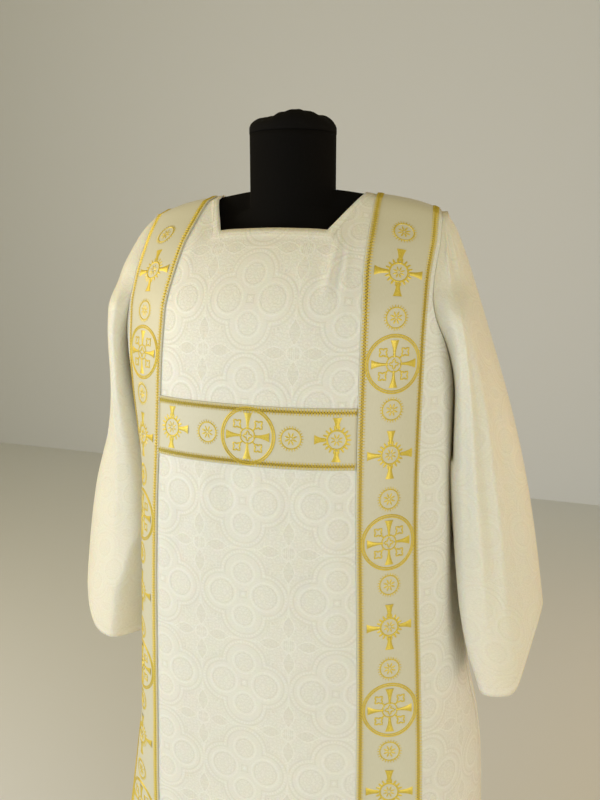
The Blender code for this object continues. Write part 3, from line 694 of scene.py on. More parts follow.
# Creases of the sleeves: across is the share of the way round from the front seam edge.
SLEEVE_CREASES = {
    "left": (
        (0.235, 1.345, 0.255, 0.79, 0.015, 0.0042),
        (0.275, 1.31, 0.298, 0.84, 0.012, -0.0024),
        (0.315, 1.29, 0.325, 0.8, 0.014, 0.003),
        (0.39, 1.29, 0.38, 0.82, 0.026, -0.003),
        (0.205, 1.2, 0.212, 0.86, 0.012, -0.0018),
        (0.08, 1.396, 0.18, 1.322, 0.013, 0.003),
        (0.13, 1.402, 0.235, 1.332, 0.012, -0.0024),
        (0.19, 1.402, 0.29, 1.335, 0.013, 0.0022),
    ),
    "right": (
        (0.24, 1.3, 0.26, 0.8, 0.012, 0.0022),
    ),
}

# The right sleeve turns back below a slanting fold: the share of the way round where the fold
# lies at each level, and how deep the hollow beside it is for each metre of its width.
SLANT_FOLD = Curve(
    [0.740, 0.790, 0.832, 0.863, 0.898, 0.915, 0.935],
    [0.262, 0.258, 0.249, 0.228, 0.2086, 0.198, 0.1667],
)
SLANT_FOLD_SHARE = 1 / 6
SLANT_FOLD_DEPTH = 1.15
SLANT_FOLD_SOFT_FROM = 0.870
SLANT_FOLD_SOFT_TO = 0.790


def turned_back(base, shares, curves):
    """Lets the cloth under the slanting fold hang back, crisp at its top and soft at its foot."""
    level = base[..., 2]
    edge = SLANT_FOLD(level)
    fold_x, outer_x = curves["front_fold_x"](level), curves["outer_x"](level)
    across = (edge - SLANT_FOLD_SHARE) * 6 * FACE_REACH * (outer_x - fold_x)
    depth = SLANT_FOLD_DEPTH * np.maximum(across, 0.0)
    t = np.clip((edge - shares) / np.maximum(edge - SLANT_FOLD_SHARE, 1e-6), 0, 1)
    soft = ease((SLANT_FOLD_SOFT_FROM - level) / (SLANT_FOLD_SOFT_FROM - SLANT_FOLD_SOFT_TO))
    t = t + (ease(t) - t) * soft
    inside = np.clip(shares / SLANT_FOLD_SHARE, 0, 1)
    moved = base.copy()
    moved[..., 1] += depth * t * inside
    return moved


def through(points, steps):
    """A smooth line through the points, with that many steps between neighbours."""
    ends = [2 * points[0] - points[1]] + list(points) + [2 * points[-1] - points[-2]]
    t = (np.arange(steps) / steps)[:, None]
    line = [
        0.5 * (2 * b + (c - a) * t + (2 * a - 5 * b + 4 * c - d) * t**2
               + (3 * b - a - 3 * c + d) * t**3)
        for a, b, c, d in zip(ends, ends[1:], ends[2:], ends[3:])
    ]
    return np.concatenate(line + [points[-1:]])


def sleeve_section(curves, side, front_end, back_end, height):
    """One section of a sleeve, from its front edge round the outside to its back edge."""
    at = {name: float(curve(height)) for name, curve in curves.items()}
    front, outer, back = (
        np.array([side * at[place + "_x"], at[place + "_y"]])
        for place in ("front_fold", "outer", "back_fold")
    )
    front_face, back_face = (
        np.array([fold[0] + FACE_REACH * (outer[0] - fold[0]), FACE_DEPTH * fold[1]])
        for fold in (front, back)
    )
    round_top = ease((height - FOLDS_START) / (FOLDS_END - FOLDS_START))

    def towards_outer(end, turn, hanging):
        smooth = np.array([
            end[0] + (outer[0] - end[0]) * math.sin(turn),
            outer[1] + (end[1] - outer[1]) * math.cos(turn),
        ])
        return hanging + (smooth - hanging) * round_top

    controls = [
        front_end[:2],
        towards_outer(front_end, math.pi / 6, front),
        towards_outer(front_end, math.pi / 3, front_face),
        outer,
        towards_outer(back_end, math.pi / 3, back_face),
        towards_outer(back_end, math.pi / 6, back),
        back_end[:2],
    ]
    flat = through(np.array(controls), SPAN_STEPS)
    share = np.linspace(0, 1, len(flat))
    return np.column_stack([flat, front_end[2] * (1 - share) + back_end[2] * share])


def sleeve_surface(name, side, table):
    """A sleeve's outer face, and its two UV maps: from the top down and from the cuff up."""
    curves = table_curves(SLEEVE_COLUMNS, table)
    edge, inward = (0, 1) if side < 0 else (-1, -1)
    rows = []
    for i in range(UNDERARM_ROW + 1):
        ends = []
        for panel in ("front", "back"):
            surface, out, _ = panels[panel]
            away = surface[i, edge] - surface[i, edge + inward]
            away /= max(np.linalg.norm(away), 1e-9)
            ends.append(surface[i, edge] + (away + out[i, edge]) * SEAM_SHOWS)
        height = (ends[0][2] + ends[1][2]) / 2
        rows.append(sleeve_section(curves, side, *ends, height))
    start = rows[-1]
    share = np.linspace(0, 1, len(start))
    from_edge = np.minimum(share, 1 - share)
    rise = ease((from_edge - CUFF_RISE_STARTS) / (0.5 - CUFF_RISE_STARTS))
    cuff = CUFF_LOW[name] + CUFF_RISE * rise
    hanging = int(round((start[0, 2] - CUFF_LOW[name]) / ROW_STEP))
    for k in range(1, hanging + 1):
        heights = start[:, 2] + (cuff - start[:, 2]) * k / hanging
        row = []
        for j, height in enumerate(heights):
            under = side * float(curves["under_x"](height))
            ends = [np.array([under, y, height]) for y in (-SEAM_GAP / 2, SEAM_GAP / 2)]
            row.append(sleeve_section(curves, side, *ends, height)[j])
        rows.append(np.array(row))
    base = np.array(rows)
    shares = np.broadcast_to(share, base.shape[:2])
    if side < 0:
        base = turned_back(base, shares, curves)
    rise = crease_rise(SLEEVE_CREASES[name], shares, base[..., 2])
    surface = base + outward(base, side < 0) * rise[..., None]
    around = run_along(surface, 1)
    around -= around[:, -1:] / 2
    down = run_along(surface)
    return surface, {
        "cut": np.stack([side * around, -down], axis=-1),
        "from_cuff": np.stack([around, down[-1:] - down], axis=-1),
    }


# The sleeves' copy of the damask: yellower tones as painted warm light, and a fainter figure.
sleeve_damask_painted_warm_light = brocade_material("ivory damask woven, sleeve cloth", "#ded9c8", "#e2dece")
cuff_reach = {}
for name, side, table in (("left", 1, LEFT_SLEEVE), ("right", -1, RIGHT_SLEEVE)):
    surface, maps = sleeve_surface(name, side, table)
    cuff_reach[name] = maps["from_cuff"][CUFF_STITCH_ROW, :, 0]
    cut_sheet("sleeve_" + name, surface, maps, sleeve_damask_painted_warm_light, side < 0)

# ----------------------------------------------------------
# Clavi and chest band. Ribbons of cream satin cut from a woven and embroidered band: two run
# from the front hem over the shoulders to the back hem, one lies between them on the chest.
# They are sewn flat on the panels, with their pale edges turned under.

BAND_LIFT = 0.0016
EDGE_ROLL = 0.0007
EDGE_ROLL_WIDTH = 0.0016
EDGE_SINK = 0.0012
EDGE_SINK_WIDTH = 0.0007
END_TUCK = 0.0002
FLOATS_PER_METRE = (1100, 160, 1)


def threads_material(name, colours, scale, detail, bump, numbers):
    """A cloth or cord of fine threads, one tone or two, that stand up a little from each other."""
    made, shader, add = new_material(name)
    if isinstance(scale, tuple):
        cut = add("ShaderNodeUVMap", uv_map="cut")
        place, scale = add("ShaderNodeMapping", {"Vector": cut, "Scale": scale}), 1.0
    else:
        place = add("ShaderNodeTexCoord", out="Object")
    threads = add("ShaderNodeTexNoise", {"Vector": place, "Scale": scale, "Detail": detail})
    tones = [linear(colour) for colour in colours]
    set_inputs(shader, {
        "Base Color": tones[0] if len(tones) == 1 else add(
            "ShaderNodeMix", {0: threads, 6: tones[0], 7: tones[1]}, out=2, data_type="RGBA"),
        "Normal": add("ShaderNodeBump", {"Height": threads, "Strength": bump[0],
                                         "Distance": bump[1]}),
        **numbers,
    })
    return made


def rolled(share, width):
    """How far a band's turned edge stands up, for shares of the way across it."""
    from_edge = np.minimum(share, 1 - share) * width
    rise = EDGE_ROLL * np.exp(-(((from_edge - EDGE_ROLL_WIDTH / 2) / EDGE_ROLL_WIDTH) ** 2))
    return rise - EDGE_SINK * np.exp(-((from_edge / EDGE_SINK_WIDTH) ** 2))


# Band satin: long floats of rayon that give a soft gloss along the band.
satin = threads_material("cream satin woven", ("#c2bfa5", "#cdcab3"), FLOATS_PER_METRE, 2.0,
                         (0.25, 0.0003),
                         {"Roughness": 0.48, "Sheen Weight": 0.15, "Specular IOR Level": 0.5})
# Shares of the way across a band where its columns lie, close together on its rolled edges.
BAND_COLUMNS = np.array([0.0, 0.006, 0.014, 0.022, 0.034, 0.06, *np.linspace(0.09, 0.91, 15),
                         0.94, 0.966, 0.978, 0.986, 0.994, 1.0])


def band_across(grid, first, last):
    """The grid's columns from first to last, resampled at the band's own columns."""
    part = grid[:, first:last + 1]
    place = BAND_COLUMNS * (last - first)
    low = np.minimum(place.astype(int), last - first - 1)
    t = (place - low)[None, :, None]
    return part[:, low] * (1 - t) + part[:, low + 1] * t


def lifted(points, away, roll):
    """A band's points stood off the panel along its outward directions, edges rolled."""
    away /= np.linalg.norm(away, axis=2, keepdims=True)
    return points + away * (BAND_LIFT + roll)


clavi = {}
for name, side in (("left", 1), ("right", -1)):
    ends = [MIDDLE_COLUMN + side * BAND_STARTS, MIDDLE_COLUMN + side * (BAND_STARTS + BAND_STEPS)]
    points, away = (
        band_across(np.concatenate([front_grid[:0:-1], back_grid]), min(ends), max(ends))
        for front_grid, back_grid in zip(panels["front"][:2], panels["back"][:2])
    )
    points = lifted(points, away, rolled(BAND_COLUMNS, CLAVUS_WIDTH)[None, :, None])
    along = run_along(points[:, len(BAND_COLUMNS) // 2])
    along -= along[len(panels["front"][0]) - 1]
    across = (BAND_COLUMNS - 0.5) * CLAVUS_WIDTH
    clavi[name] = (points, along)
    maps = {"cut": np.stack(np.meshgrid(across, along), axis=-1)}
    cut_sheet("clavus_" + name, points, maps, satin, True)

top, foot = row_at(CHEST_BAND_TOP), row_at(CHEST_BAND_FOOT)
points, away, cut = (
    band_across(
        grid[top:foot + 1, MIDDLE_COLUMN - BAND_STARTS:MIDDLE_COLUMN + BAND_STARTS + 1]
        .transpose(1, 0, 2), 0, foot - top,
    ).transpose(1, 0, 2)
    for grid in panels["front"]
)
points = lifted(points, away, rolled(BAND_COLUMNS, CHEST_BAND_WIDTH)[:, None, None])
for end, inward in ((0, 1), (-1, -1)):
    step = points[:, end + inward] - points[:, end]
    points[:, end] += step / np.linalg.norm(step, axis=1, keepdims=True) * END_TUCK
up = np.broadcast_to(((0.5 - BAND_COLUMNS) * CHEST_BAND_WIDTH)[:, None], cut.shape[:2])
cut = np.stack([cut[..., 0], up], axis=-1)
chest_reach = float(cut[0, -1, 0])
cut_sheet("chest_band", points, {"cut": cut}, satin)

# ----------------------------------------------------------
# Embroidery of the bands. Ringed crosses, flared sun crosses and small toothed roundels in
# turn, worked in close satin stitch with gold metal thread, so each shape stands up domed.

MOTIF_STEP = 0.0592
MEDALLION_HEIGHT = 1.232
SUN_CROSS_TO_END = 0.0195
STITCH_PROFILE = ((-1.0, -0.2), (-0.6, 0.75), (0.0, 1.0), (0.6, 0.75), (1.0, -0.2))
THREAD_PROFILE = ((-1.0, -0.2), (0.0, 1.0), (1.0, -0.2))
ARM_RISE, RING_RISE, SPOKE_RISE = 0.0009, 0.0008, 0.0007


def satin_stitched(parts, path, half_width, height, closed=False, profile=STITCH_PROFILE):
    """Adds a domed strip of stitches along a path in the plane to the parts of a motif."""
    path = np.array(path, float)
    if closed:
        forward = np.roll(path, -1, axis=0) - np.roll(path, 1, axis=0)
    else:
        forward = np.gradient(path, axis=0)
    forward /= np.linalg.norm(forward, axis=1, keepdims=True)
    beside = np.column_stack([forward[:, 1], -forward[:, 0]])
    width = np.broadcast_to(half_width, len(path))
    sheet = np.array([
        [(*(spot + way * wide * u), height * rise) for u, rise in profile]
        for spot, way, wide in zip(path, beside, width)
    ])
    first = sum(len(points) for points, _ in parts)
    faces = first + grid_quads(*sheet.shape[:2], rows_close=closed).reshape(-1, 4)
    parts.append((sheet.reshape(-1, 3), faces.tolist()))


thread_stitched = partial(satin_stitched, profile=THREAD_PROFILE)


def motif(name, parts):
    """A motif drawn flat round the origin, to be laid on cloth."""
    points = np.concatenate([points for points, _ in parts])
    return meshed(name, points, [face for _, faces in parts for face in faces])


def circle(radius, count):
    angles = np.arange(count) * 2 * math.pi / count
    return radius * np.column_stack([np.cos(angles), np.sin(angles)])


def ray(angle, distances):
    return np.array(distances)[:, None] * np.array([math.cos(angle), math.sin(angle)])


def lobed(centre, turn, mean, wave):
    """A small outline of four lobes, which reaches its mean distance plus or minus a wave."""
    angles = np.arange(16) * math.pi / 8
    reach = (mean + wave * np.cos(4 * angles))[:, None]
    return centre + reach * np.column_stack([np.cos(turn + angles), np.sin(turn + angles)])


def flared_arm(parts, angle, start, end, narrow, wide):
    """A cross arm with hollow sides, narrow at the middle of the cross."""
    share = np.linspace(0, 1, 8)
    widths = narrow + (wide - narrow) * share**2.2
    satin_stitched(parts, ray(angle, start + (end - start) * share), widths, ARM_RISE)


def star(parts, spokes, start, end, half_width):
    """Thin spokes that taper at both ends."""
    share = np.linspace(0, 1, 5)
    widths = half_width * np.sin(math.pi * (0.12 + 0.76 * share))
    for k in range(spokes):
        line = ray(2 * math.pi * (k + 0.5) / spokes, start + (end - start) * share)
        thread_stitched(parts, line, widths, SPOKE_RISE)


def toothed_ring(parts, radius, half_width, teeth, reach, tooth_width):
    """A ring with short teeth round its outside."""
    satin_stitched(parts, circle(radius, 36), half_width, RING_RISE, closed=True)
    for k in range(teeth):
        line = ray(2 * math.pi * k / teeth, [radius, radius + reach * 0.6, radius + reach])
        thread_stitched(parts, line, tooth_width * np.array([0.9, 1.0, 0.6]), SPOKE_RISE)


parts = []
for radius, count, half_width, height in (
    (0.0376, 72, 0.00125, 0.0010),
    (0.0349, 72, 0.00115, ARM_RISE),
    (0.0102, 28, 0.0010, RING_RISE),
):
    satin_stitched(parts, circle(radius, count), half_width, height, closed=True)
for k in range(4):
    flared_arm(parts, math.pi / 2 * k, start=0.0085, end=0.0305, narrow=0.0017, wide=0.0068)
    diagonal = math.pi / 2 * (k + 0.5)
    bud = lobed(ray(diagonal, [0.0215])[0], diagonal, mean=0.0052, wave=0.0016)
    satin_stitched(parts, bud, 0.0012, RING_RISE, closed=True)
    satin_stitched(parts, ray(diagonal, [0.0100, 0.0130, 0.0165]), 0.0012, SPOKE_RISE)
middle_knot = lobed((0, 0), 0.0, mean=0.0048, wave=0.0018)
satin_stitched(parts, middle_knot, 0.0011, RING_RISE, closed=True)
medallion = motif("medallion", parts)

parts = []
toothed_ring(parts, radius=0.0132, half_width=0.00095, teeth=26, reach=0.0036,
             tooth_width=0.00078)
star(parts, spokes=8, start=0.0022, end=0.0086, half_width=0.00145)
thread_stitched(parts, circle(0.0022, 10), 0.0006, 0.0006, closed=True)
roundel = motif("roundel", parts)

sun_crosses = {}
for name, arms, reach in (("whole", (0, 1, 2, 3), 0.0318), ("cut", (1, 2, 3), 0.0288)):
    parts = []
    toothed_ring(parts, radius=0.0124, half_width=0.0014, teeth=18, reach=0.0062,
                 tooth_width=0.0017)
    star(parts, spokes=8, start=0.0019, end=0.0080, half_width=0.0013)
    for k in arms:
        flared_arm(parts, math.pi / 2 * k, start=0.0145, end=reach, narrow=0.0028, wide=0.0070)
    sun_crosses[name] = motif("sun_cross_" + name, parts)


def row_tree():
    """Geometry Nodes for a row of one unit, laid on a cloth through the cloth's UV map."""
    tree = bpy.data.node_groups.new("row laid on cloth", "GeometryNodeTree")
    add = partial(add_node, tree)
    inputs = {}
    for name, kind in (
        ("Geometry", "Geometry"), ("Unit", "Object"), ("Cloth", "Object"), ("Map", "String"),
        ("First place", "Vector"), ("Step", "Vector"), ("Count", "Int"), ("Turn", "Vector"),
        ("Finish", "Material"),
    ):
        made = tree.interface.new_socket(name, in_out="INPUT", socket_type="NodeSocket" + kind)
        inputs[name] = made.identifier
    tree.interface.new_socket("Geometry", in_out="OUTPUT", socket_type="NodeSocketGeometry")
    given = add("NodeGroupInput").node.outputs
    line = add("GeometryNodeMeshLine", {
        "Count": given["Count"], "Start Location": given["First place"], "Offset": given["Step"],
    }, mode="OFFSET")
    unit, cloth = (add("GeometryNodeObjectInfo", {"Object": given[name]}, out="Geometry")
                   for name in ("Unit", "Cloth"))
    placed = add("GeometryNodeInstanceOnPoints", {
        "Points": line, "Instance": unit, "Rotation": given["Turn"],
    })
    real = add("GeometryNodeRealizeInstances", [placed])
    flat = add("ShaderNodeSeparateXYZ", [add("GeometryNodeInputPosition")])
    spot = add("ShaderNodeCombineXYZ", [flat, flat.node.outputs[1]])
    cut = add("GeometryNodeInputNamedAttribute", {"Name": given["Map"]}, data_type="FLOAT_VECTOR")
    place, out = (
        add("GeometryNodeSampleUVSurface", {
            "Mesh": cloth, "Value": add(field), "UV Map": cut, "Sample UV": spot,
        }, data_type="FLOAT_VECTOR")
        for field in ("GeometryNodeInputPosition", "GeometryNodeInputNormal")
    )
    lift = add(VECTOR_MATH, {0: out, "Scale": flat.node.outputs[2]}, operation="SCALE")
    there = add(VECTOR_MATH, [place, lift], operation="ADD")
    laid = add("GeometryNodeSetPosition", {"Geometry": real, "Position": there})
    done = add("GeometryNodeSetMaterial", {"Geometry": laid, "Material": given["Finish"]})
    tree.links.new(done, tree.nodes.new("NodeGroupOutput").inputs[0])
    return tree, inputs


ROW_TREE, ROW_INPUTS = row_tree()


def laid_rows(name, cloth, finish, rows, node=None, uv_map="cut"):
    """One piece from rows of units: (unit, first place, step, count, turn) on the cloth."""
    holders = []
    for unit, first, step, count, turn in rows:
        holders.append(in_scene(name, bpy.data.meshes.new(name)))
        row = holders[-1].modifiers.new("row", "NODES")
        row.node_group = ROW_TREE
        for key, value in (
            ("Unit", unit), ("Cloth", grounds[cloth]), ("Map", uv_map),
            ("First place", (*first, 0.0)), ("Step", (*step, 0.0)), ("Count", count),
            ("Turn", (0.0, 0.0, turn)), ("Finish", finish),
        ):
            row[ROW_INPUTS[key]] = value
    bpy.context.view_layer.update()
    graph = bpy.context.evaluated_depsgraph_get()
    points, faces = [], []
    for holder in holders:
        mesh = bpy.data.meshes.new_from_object(holder.evaluated_get(graph))
        first = sum(len(part) for part in points)
        faces += [tuple(first + v for v in face.vertices) for face in mesh.polygons]
        part = np.empty(len(mesh.vertices) * 3)
        mesh.vertices.foreach_get("co", part)
        points.append(part.reshape(-1, 3))
        bpy.data.meshes.remove(mesh)
    for holder in holders:
        bpy.data.objects.remove(holder)
    made = meshed(name, np.concatenate(points), faces, finish)
    fitted(made, node)
    return made


# Gold metal thread: a gilt foil wound on yellow silk, dull between the turns.
gilt_thread = partial(threads_material, scale=900.0, detail=1.0, bump=(0.4, 0.0004),
                      numbers={"Metallic": 0.35, "Roughness": 0.45})
gilt = gilt_thread("gilt thread wound", ("#a69026", "#f0d95e"))


def motif_rows(first, end, way):
    """Rows of the three motifs in turn, from the roundel near a shoulder to a hem's end."""
    rows = []
    for unit, offset, every, reach in (
        (medallion, 3, 4, 0.041), (sun_crosses["whole"], 1, 4, 0.034), (roundel, 0, 2, 0.018),
    ):
        count = int(((end - reach - first) / MOTIF_STEP - offset) // every) + 1
        place = (0.0, way * (first + MOTIF_STEP * offset))
        rows.append((unit, place, (0.0, way * MOTIF_STEP * every), count, 0.0))
    return rows


for name in ("left", "right"):
    points, along = clavi[name]
    middle = points[:len(panels["front"][0]), points.shape[1] // 2]
    first = -float(np.interp(MEDALLION_HEIGHT, middle[:, 2], along[:len(middle)]))
    first -= 3 * MOTIF_STEP
    rows = motif_rows(first, -along[0], -1) + motif_rows(first, along[-1], 1)
    laid_rows(f"embroidery_clavus_{name}", "clavus_" + name, gilt, rows)
cut_place = min(2 * MOTIF_STEP, chest_reach - SUN_CROSS_TO_END)
rows = [
    (medallion, (0.0, 0.0), (0.1, 0.0), 1, 0.0),
    (roundel, (-MOTIF_STEP, 0.0), (2 * MOTIF_STEP, 0.0), 2, 0.0),
    (sun_crosses["cut"], (cut_place, 0.0), (0.1, 0.0), 1, 0.0),
    (sun_crosses["cut"], (-cut_place, 0.0), (0.1, 0.0), 1, math.pi),
]
laid_rows("embroidery_chest_band", "chest_band", gilt, rows)

# ----------------------------------------------------------
# Gold braid. A narrow galloon: one thick gilt cord looped from edge to edge over a flat ground,
# with a small picot at every turn, sewn just inside the pale edge of every band. The ground's
# gilt is darker as painted shade, where the raised cord shades it.

BRAID_FROM_EDGE = 0.0057
BRAID_LENGTH = 0.0120
BRAID_TURNS = 3
CORD_REACH = 0.0024
PICOT_REACH = 0.0044
BRAID_GROUND = 0.0023
CORD_HALF = 0.00075
BRAID_END = 0.001
CORD_RISE, PICOT_RISE, GROUND_RISE = 0.0015, 0.0011, 0.0005

parts = []
turns = [((-1) ** k * CORD_REACH, BRAID_LENGTH * k / (2 * BRAID_TURNS))
         for k in range(2 * BRAID_TURNS + 1)]
for here, there in zip(turns, turns[1:]):
    thread_stitched(parts, np.array([here, there]), CORD_HALF, CORD_RISE)
    across, along = here
    picot = np.array([(across, along), (math.copysign(PICOT_REACH, across), along + 0.0002)])
    thread_stitched(parts, picot, [0.0009, 0.0007], PICOT_RISE)
cord = motif("cord", parts)
parts = []
thread_stitched(parts, np.array([(0.0, 0.0), (0.0, BRAID_LENGTH)]), BRAID_GROUND, GROUND_RISE)
ground_strip = motif("ground", parts)
# The braid's ground: gilt in darker tones, painted shade under and between the cord's loops.
gilt_in_painted_shade = gilt_thread("gilt thread flat woven", ("#705d1d", "#947d33"))


def sew_braid(node, cloth, start, step, count, turned):
    """A length of braid along a band: its ground, darker as painted shade, and the cord on it."""
    for part, finish in ((ground_strip, gilt_in_painted_shade), (cord, gilt)):
        rows = [(part, start, step, count, turned)]
        laid_rows(f"{node}_{part.name}", cloth, finish, rows, node)


for name, side in (("left", 1), ("right", -1)):
    _, along = clavi[name]
    count = int((along[-1] - along[0] - 2 * BRAID_END) // BRAID_LENGTH)
    for where, way in (("inner", -side), ("outer", side)):
        across = way * (CLAVUS_WIDTH / 2 - BRAID_FROM_EDGE)
        sew_braid(f"braid_{name}_{where}", "clavus_" + name, (across, along[0] + BRAID_END),
                  (0.0, BRAID_LENGTH), count, 0.0)
start = chest_reach - BRAID_END / 2
count = int(2 * start // BRAID_LENGTH) + 1
step = (2 * start - BRAID_LENGTH) / (count - 1)
for where, way in (("top", 1), ("bottom", -1)):
    up = way * (CHEST_BAND_WIDTH / 2 - BRAID_FROM_EDGE)
    sew_braid("braid_chest_" + where, "chest_band", (start, up), (-step, 0.0), count,
              math.pi / 2)

# ----------------------------------------------------------
# Hem stitching. The neck, cuffs and hems are turned under twice and held by one line of
# machine stitches in ivory thread.

STITCH_STEP = 0.0034
STITCH_HALF = 0.0012
NECK_STITCH = NECK_HEM - 0.0006
CUFF_STITCH = 0.0130
HEM_STITCH = 0.0220
HEM_STITCH_ROW = -5
NECK_STITCH_STOPS, CUFF_STITCH_STOPS, HEM_STITCH_STOPS = 0.002, 0.004, 0.006


def stitched_line(first, last):
    """A row of stitches from one place of a cut to another, for laid_rows."""
    run = np.subtract(last, first)
    length = np.hypot(*run)
    return (stitch, first, tuple(run / length * STITCH_STEP), int(length // STITCH_STEP),
            math.atan2(run[1], run[0]) - math.pi / 2)


thread, shader, _ = new_material("ivory thread twisted")
set_inputs(shader, {"Base Color": linear("#d3cdb2"), "Roughness": 0.55})
parts = []
line = [(0, -STITCH_HALF), (0, 0), (0, STITCH_HALF)]
thread_stitched(parts, line, [0.0002, 0.0003, 0.0002], 0.0003)
stitch = motif("stitch", parts)
for panel in ("front", "back"):
    cut = panels[panel][2]
    top, neck, hem = (float(cut[row, MIDDLE_COLUMN, 1]) for row in (0, NECK_ROW, -1))
    across = NECK_SIDE_AT_EDGE + NECK_STITCH
    below = neck - NECK_STITCH
    rows = [stitched_line((-across, below), (across, below))]
    rows += [
        stitched_line((side * across, below),
                      (side * (NECK_SIDE_AT_SHOULDER + NECK_STITCH), top - NECK_STITCH_STOPS))
        for side in (-1, 1)
    ]
    reach = float(cut[HEM_STITCH_ROW, -1, 0]) - HEM_STITCH_STOPS
    rows.append(stitched_line((-reach, hem + HEM_STITCH), (reach, hem + HEM_STITCH)))
    laid_rows(f"stitches_{panel}", panel, thread, rows)
for name, around in cuff_reach.items():
    first, last = float(around.min()) + CUFF_STITCH_STOPS, float(around.max()) - CUFF_STITCH_STOPS
    rows = [stitched_line((first, CUFF_STITCH), (last, CUFF_STITCH))]
    sleeve = "sleeve_" + name
    laid_rows(f"stitches_cuff_{name}", sleeve, thread, rows,
                                 uv_map="from_cuff")

# ----------------------------------------------------------
# Dress form. A limbless torso, padded and covered in black jersey drawn smooth over shoulders
# and neck, with a gathered black cloth over the neck's top, on a lacquered steel pole and base.

FORM_COLUMNS = ("height", "half_width", "front_depth", "back_depth")
FORM_LEVELS = (
    (0.86, 0.15, 0.105, 0.1),
    (0.885, 0.163, 0.118, 0.112),
    (0.94, 0.168, 0.122, 0.116),
    (1.0, 0.158, 0.114, 0.104),
    (1.06, 0.137, 0.1, 0.086),
    (1.12, 0.143, 0.108, 0.088),
    (1.2, 0.162, 0.128, 0.098),
    (1.28, 0.178, 0.126, 0.101),
    (1.34, 0.19, 0.104, 0.09),
    (1.385, 0.196, 0.074, 0.06),
    (1.41, 0.201, 0.052, 0.042),
)
FORM_SHOULDER_STARTS, FORM_SHOULDER_ENDS = 0.2005, 0.02
FORM_NECK_CORE = 0.01
FORM_SEAT_GAP = 0.0008
FORM_DEPTH_SHARE = 0.55
FORM_SIDES = 96
NECK_RADIUS = 0.0615
NECK_TOP = 1.534
NECK_FOOT = 1.375
NECK_GROWS_OVER = 0.03
NECK_JOIN_POWER = 14
CAP_TOP = 1.5635
CAP_CORNER = 0.0200
CAP_CLEAR = 0.0006
CAP_MIDDLE = 0.002
FORM_WAIST_RINGS, FORM_SHOULDER_RINGS, FORM_NECK_RINGS, CAP_RINGS = 70, 40, 12, 12
GATHERS_START, GATHERS_GROW_OVER, GATHERS_FULL_RADIUS = 0.004, 0.024, 0.030
GATHERS_HEIGHT, GATHERS_WIDTH = 0.0014, 0.0007
CAP_SINK, CAP_SLOPE = 0.0040, 0.0035
KNOT_ACROSS, KNOT_HALF, KNOT_RISE = 0.016, 0.014, 0.0045


def ring_reach(turn, half_width, front_depth, back_depth):
    """How far a superellipse section reaches from the upright axis in each direction."""
    depth = np.where(np.sin(turn) > 0, back_depth, front_depth)
    parts = np.abs(np.cos(turn) / half_width) ** SECTION_POWER
    parts += np.abs(np.sin(turn) / depth) ** SECTION_POWER
    return parts ** (-1 / SECTION_POWER)


FORM = table_curves(FORM_COLUMNS, FORM_LEVELS)
turn = np.arange(FORM_SIDES) * 2 * math.pi / FORM_SIDES
rings = [(z, *(float(FORM[name](z)) for name in FORM_COLUMNS[1:]))
         for z in np.linspace(FORM_LEVELS[0][0], FORM_LEVELS[-1][0], FORM_WAIST_RINGS)]
for x in np.linspace(FORM_SHOULDER_STARTS, FORM_SHOULDER_ENDS, FORM_SHOULDER_RINGS)[1:]:
    z = float(RIDGE(x)) - CLOTH - FORM_SEAT_GAP
    rings.append((z, x, *(float(BODY[side](z)) * FORM_DEPTH_SHARE
                          for side in ("front_depth", "back_depth"))))
rings += [(z, FORM_NECK_CORE, FORM_NECK_CORE, FORM_NECK_CORE)
          for z in np.linspace(rings[-1][0], NECK_TOP, FORM_NECK_RINGS)[1:]]
points = []
for z, *sizes in rings:
    body = ring_reach(turn, *sizes)
    neck = NECK_RADIUS * float(ease((z - NECK_FOOT) / NECK_GROWS_OVER))
    reach = (body**NECK_JOIN_POWER + neck**NECK_JOIN_POWER) ** (1 / NECK_JOIN_POWER)
    points.append(np.column_stack([
        reach * np.cos(turn), reach * np.sin(turn), np.full(FORM_SIDES, z),
    ]))


def closed_rings(name, rings, finish, node):
    """A closed body through rings of points from its foot to its top, in a node's stead."""
    count, sides = len(rings), len(rings[0])
    faces = grid_quads(count, sides, columns_close=True).reshape(-1, 4).tolist()
    top = range((count - 1) * sides, count * sides)
    faces += [list(range(sides))[::-1], list(top)]
    fitted(meshed(name, np.concatenate(rings), faces, finish), node)


# Black cotton jersey: matt, with hardly a shimmer where it turns away.
black_cloth = partial(threads_material, scale=700.0, detail=1.0, bump=(0.3, 0.0004))
jersey = black_cloth("black jersey drawn over padding", ["#0d0c0b"],
                     numbers={"Roughness": 0.95, "Specular IOR Level": 0.06})
closed_rings("torso_cover", points, jersey, "form_torso")

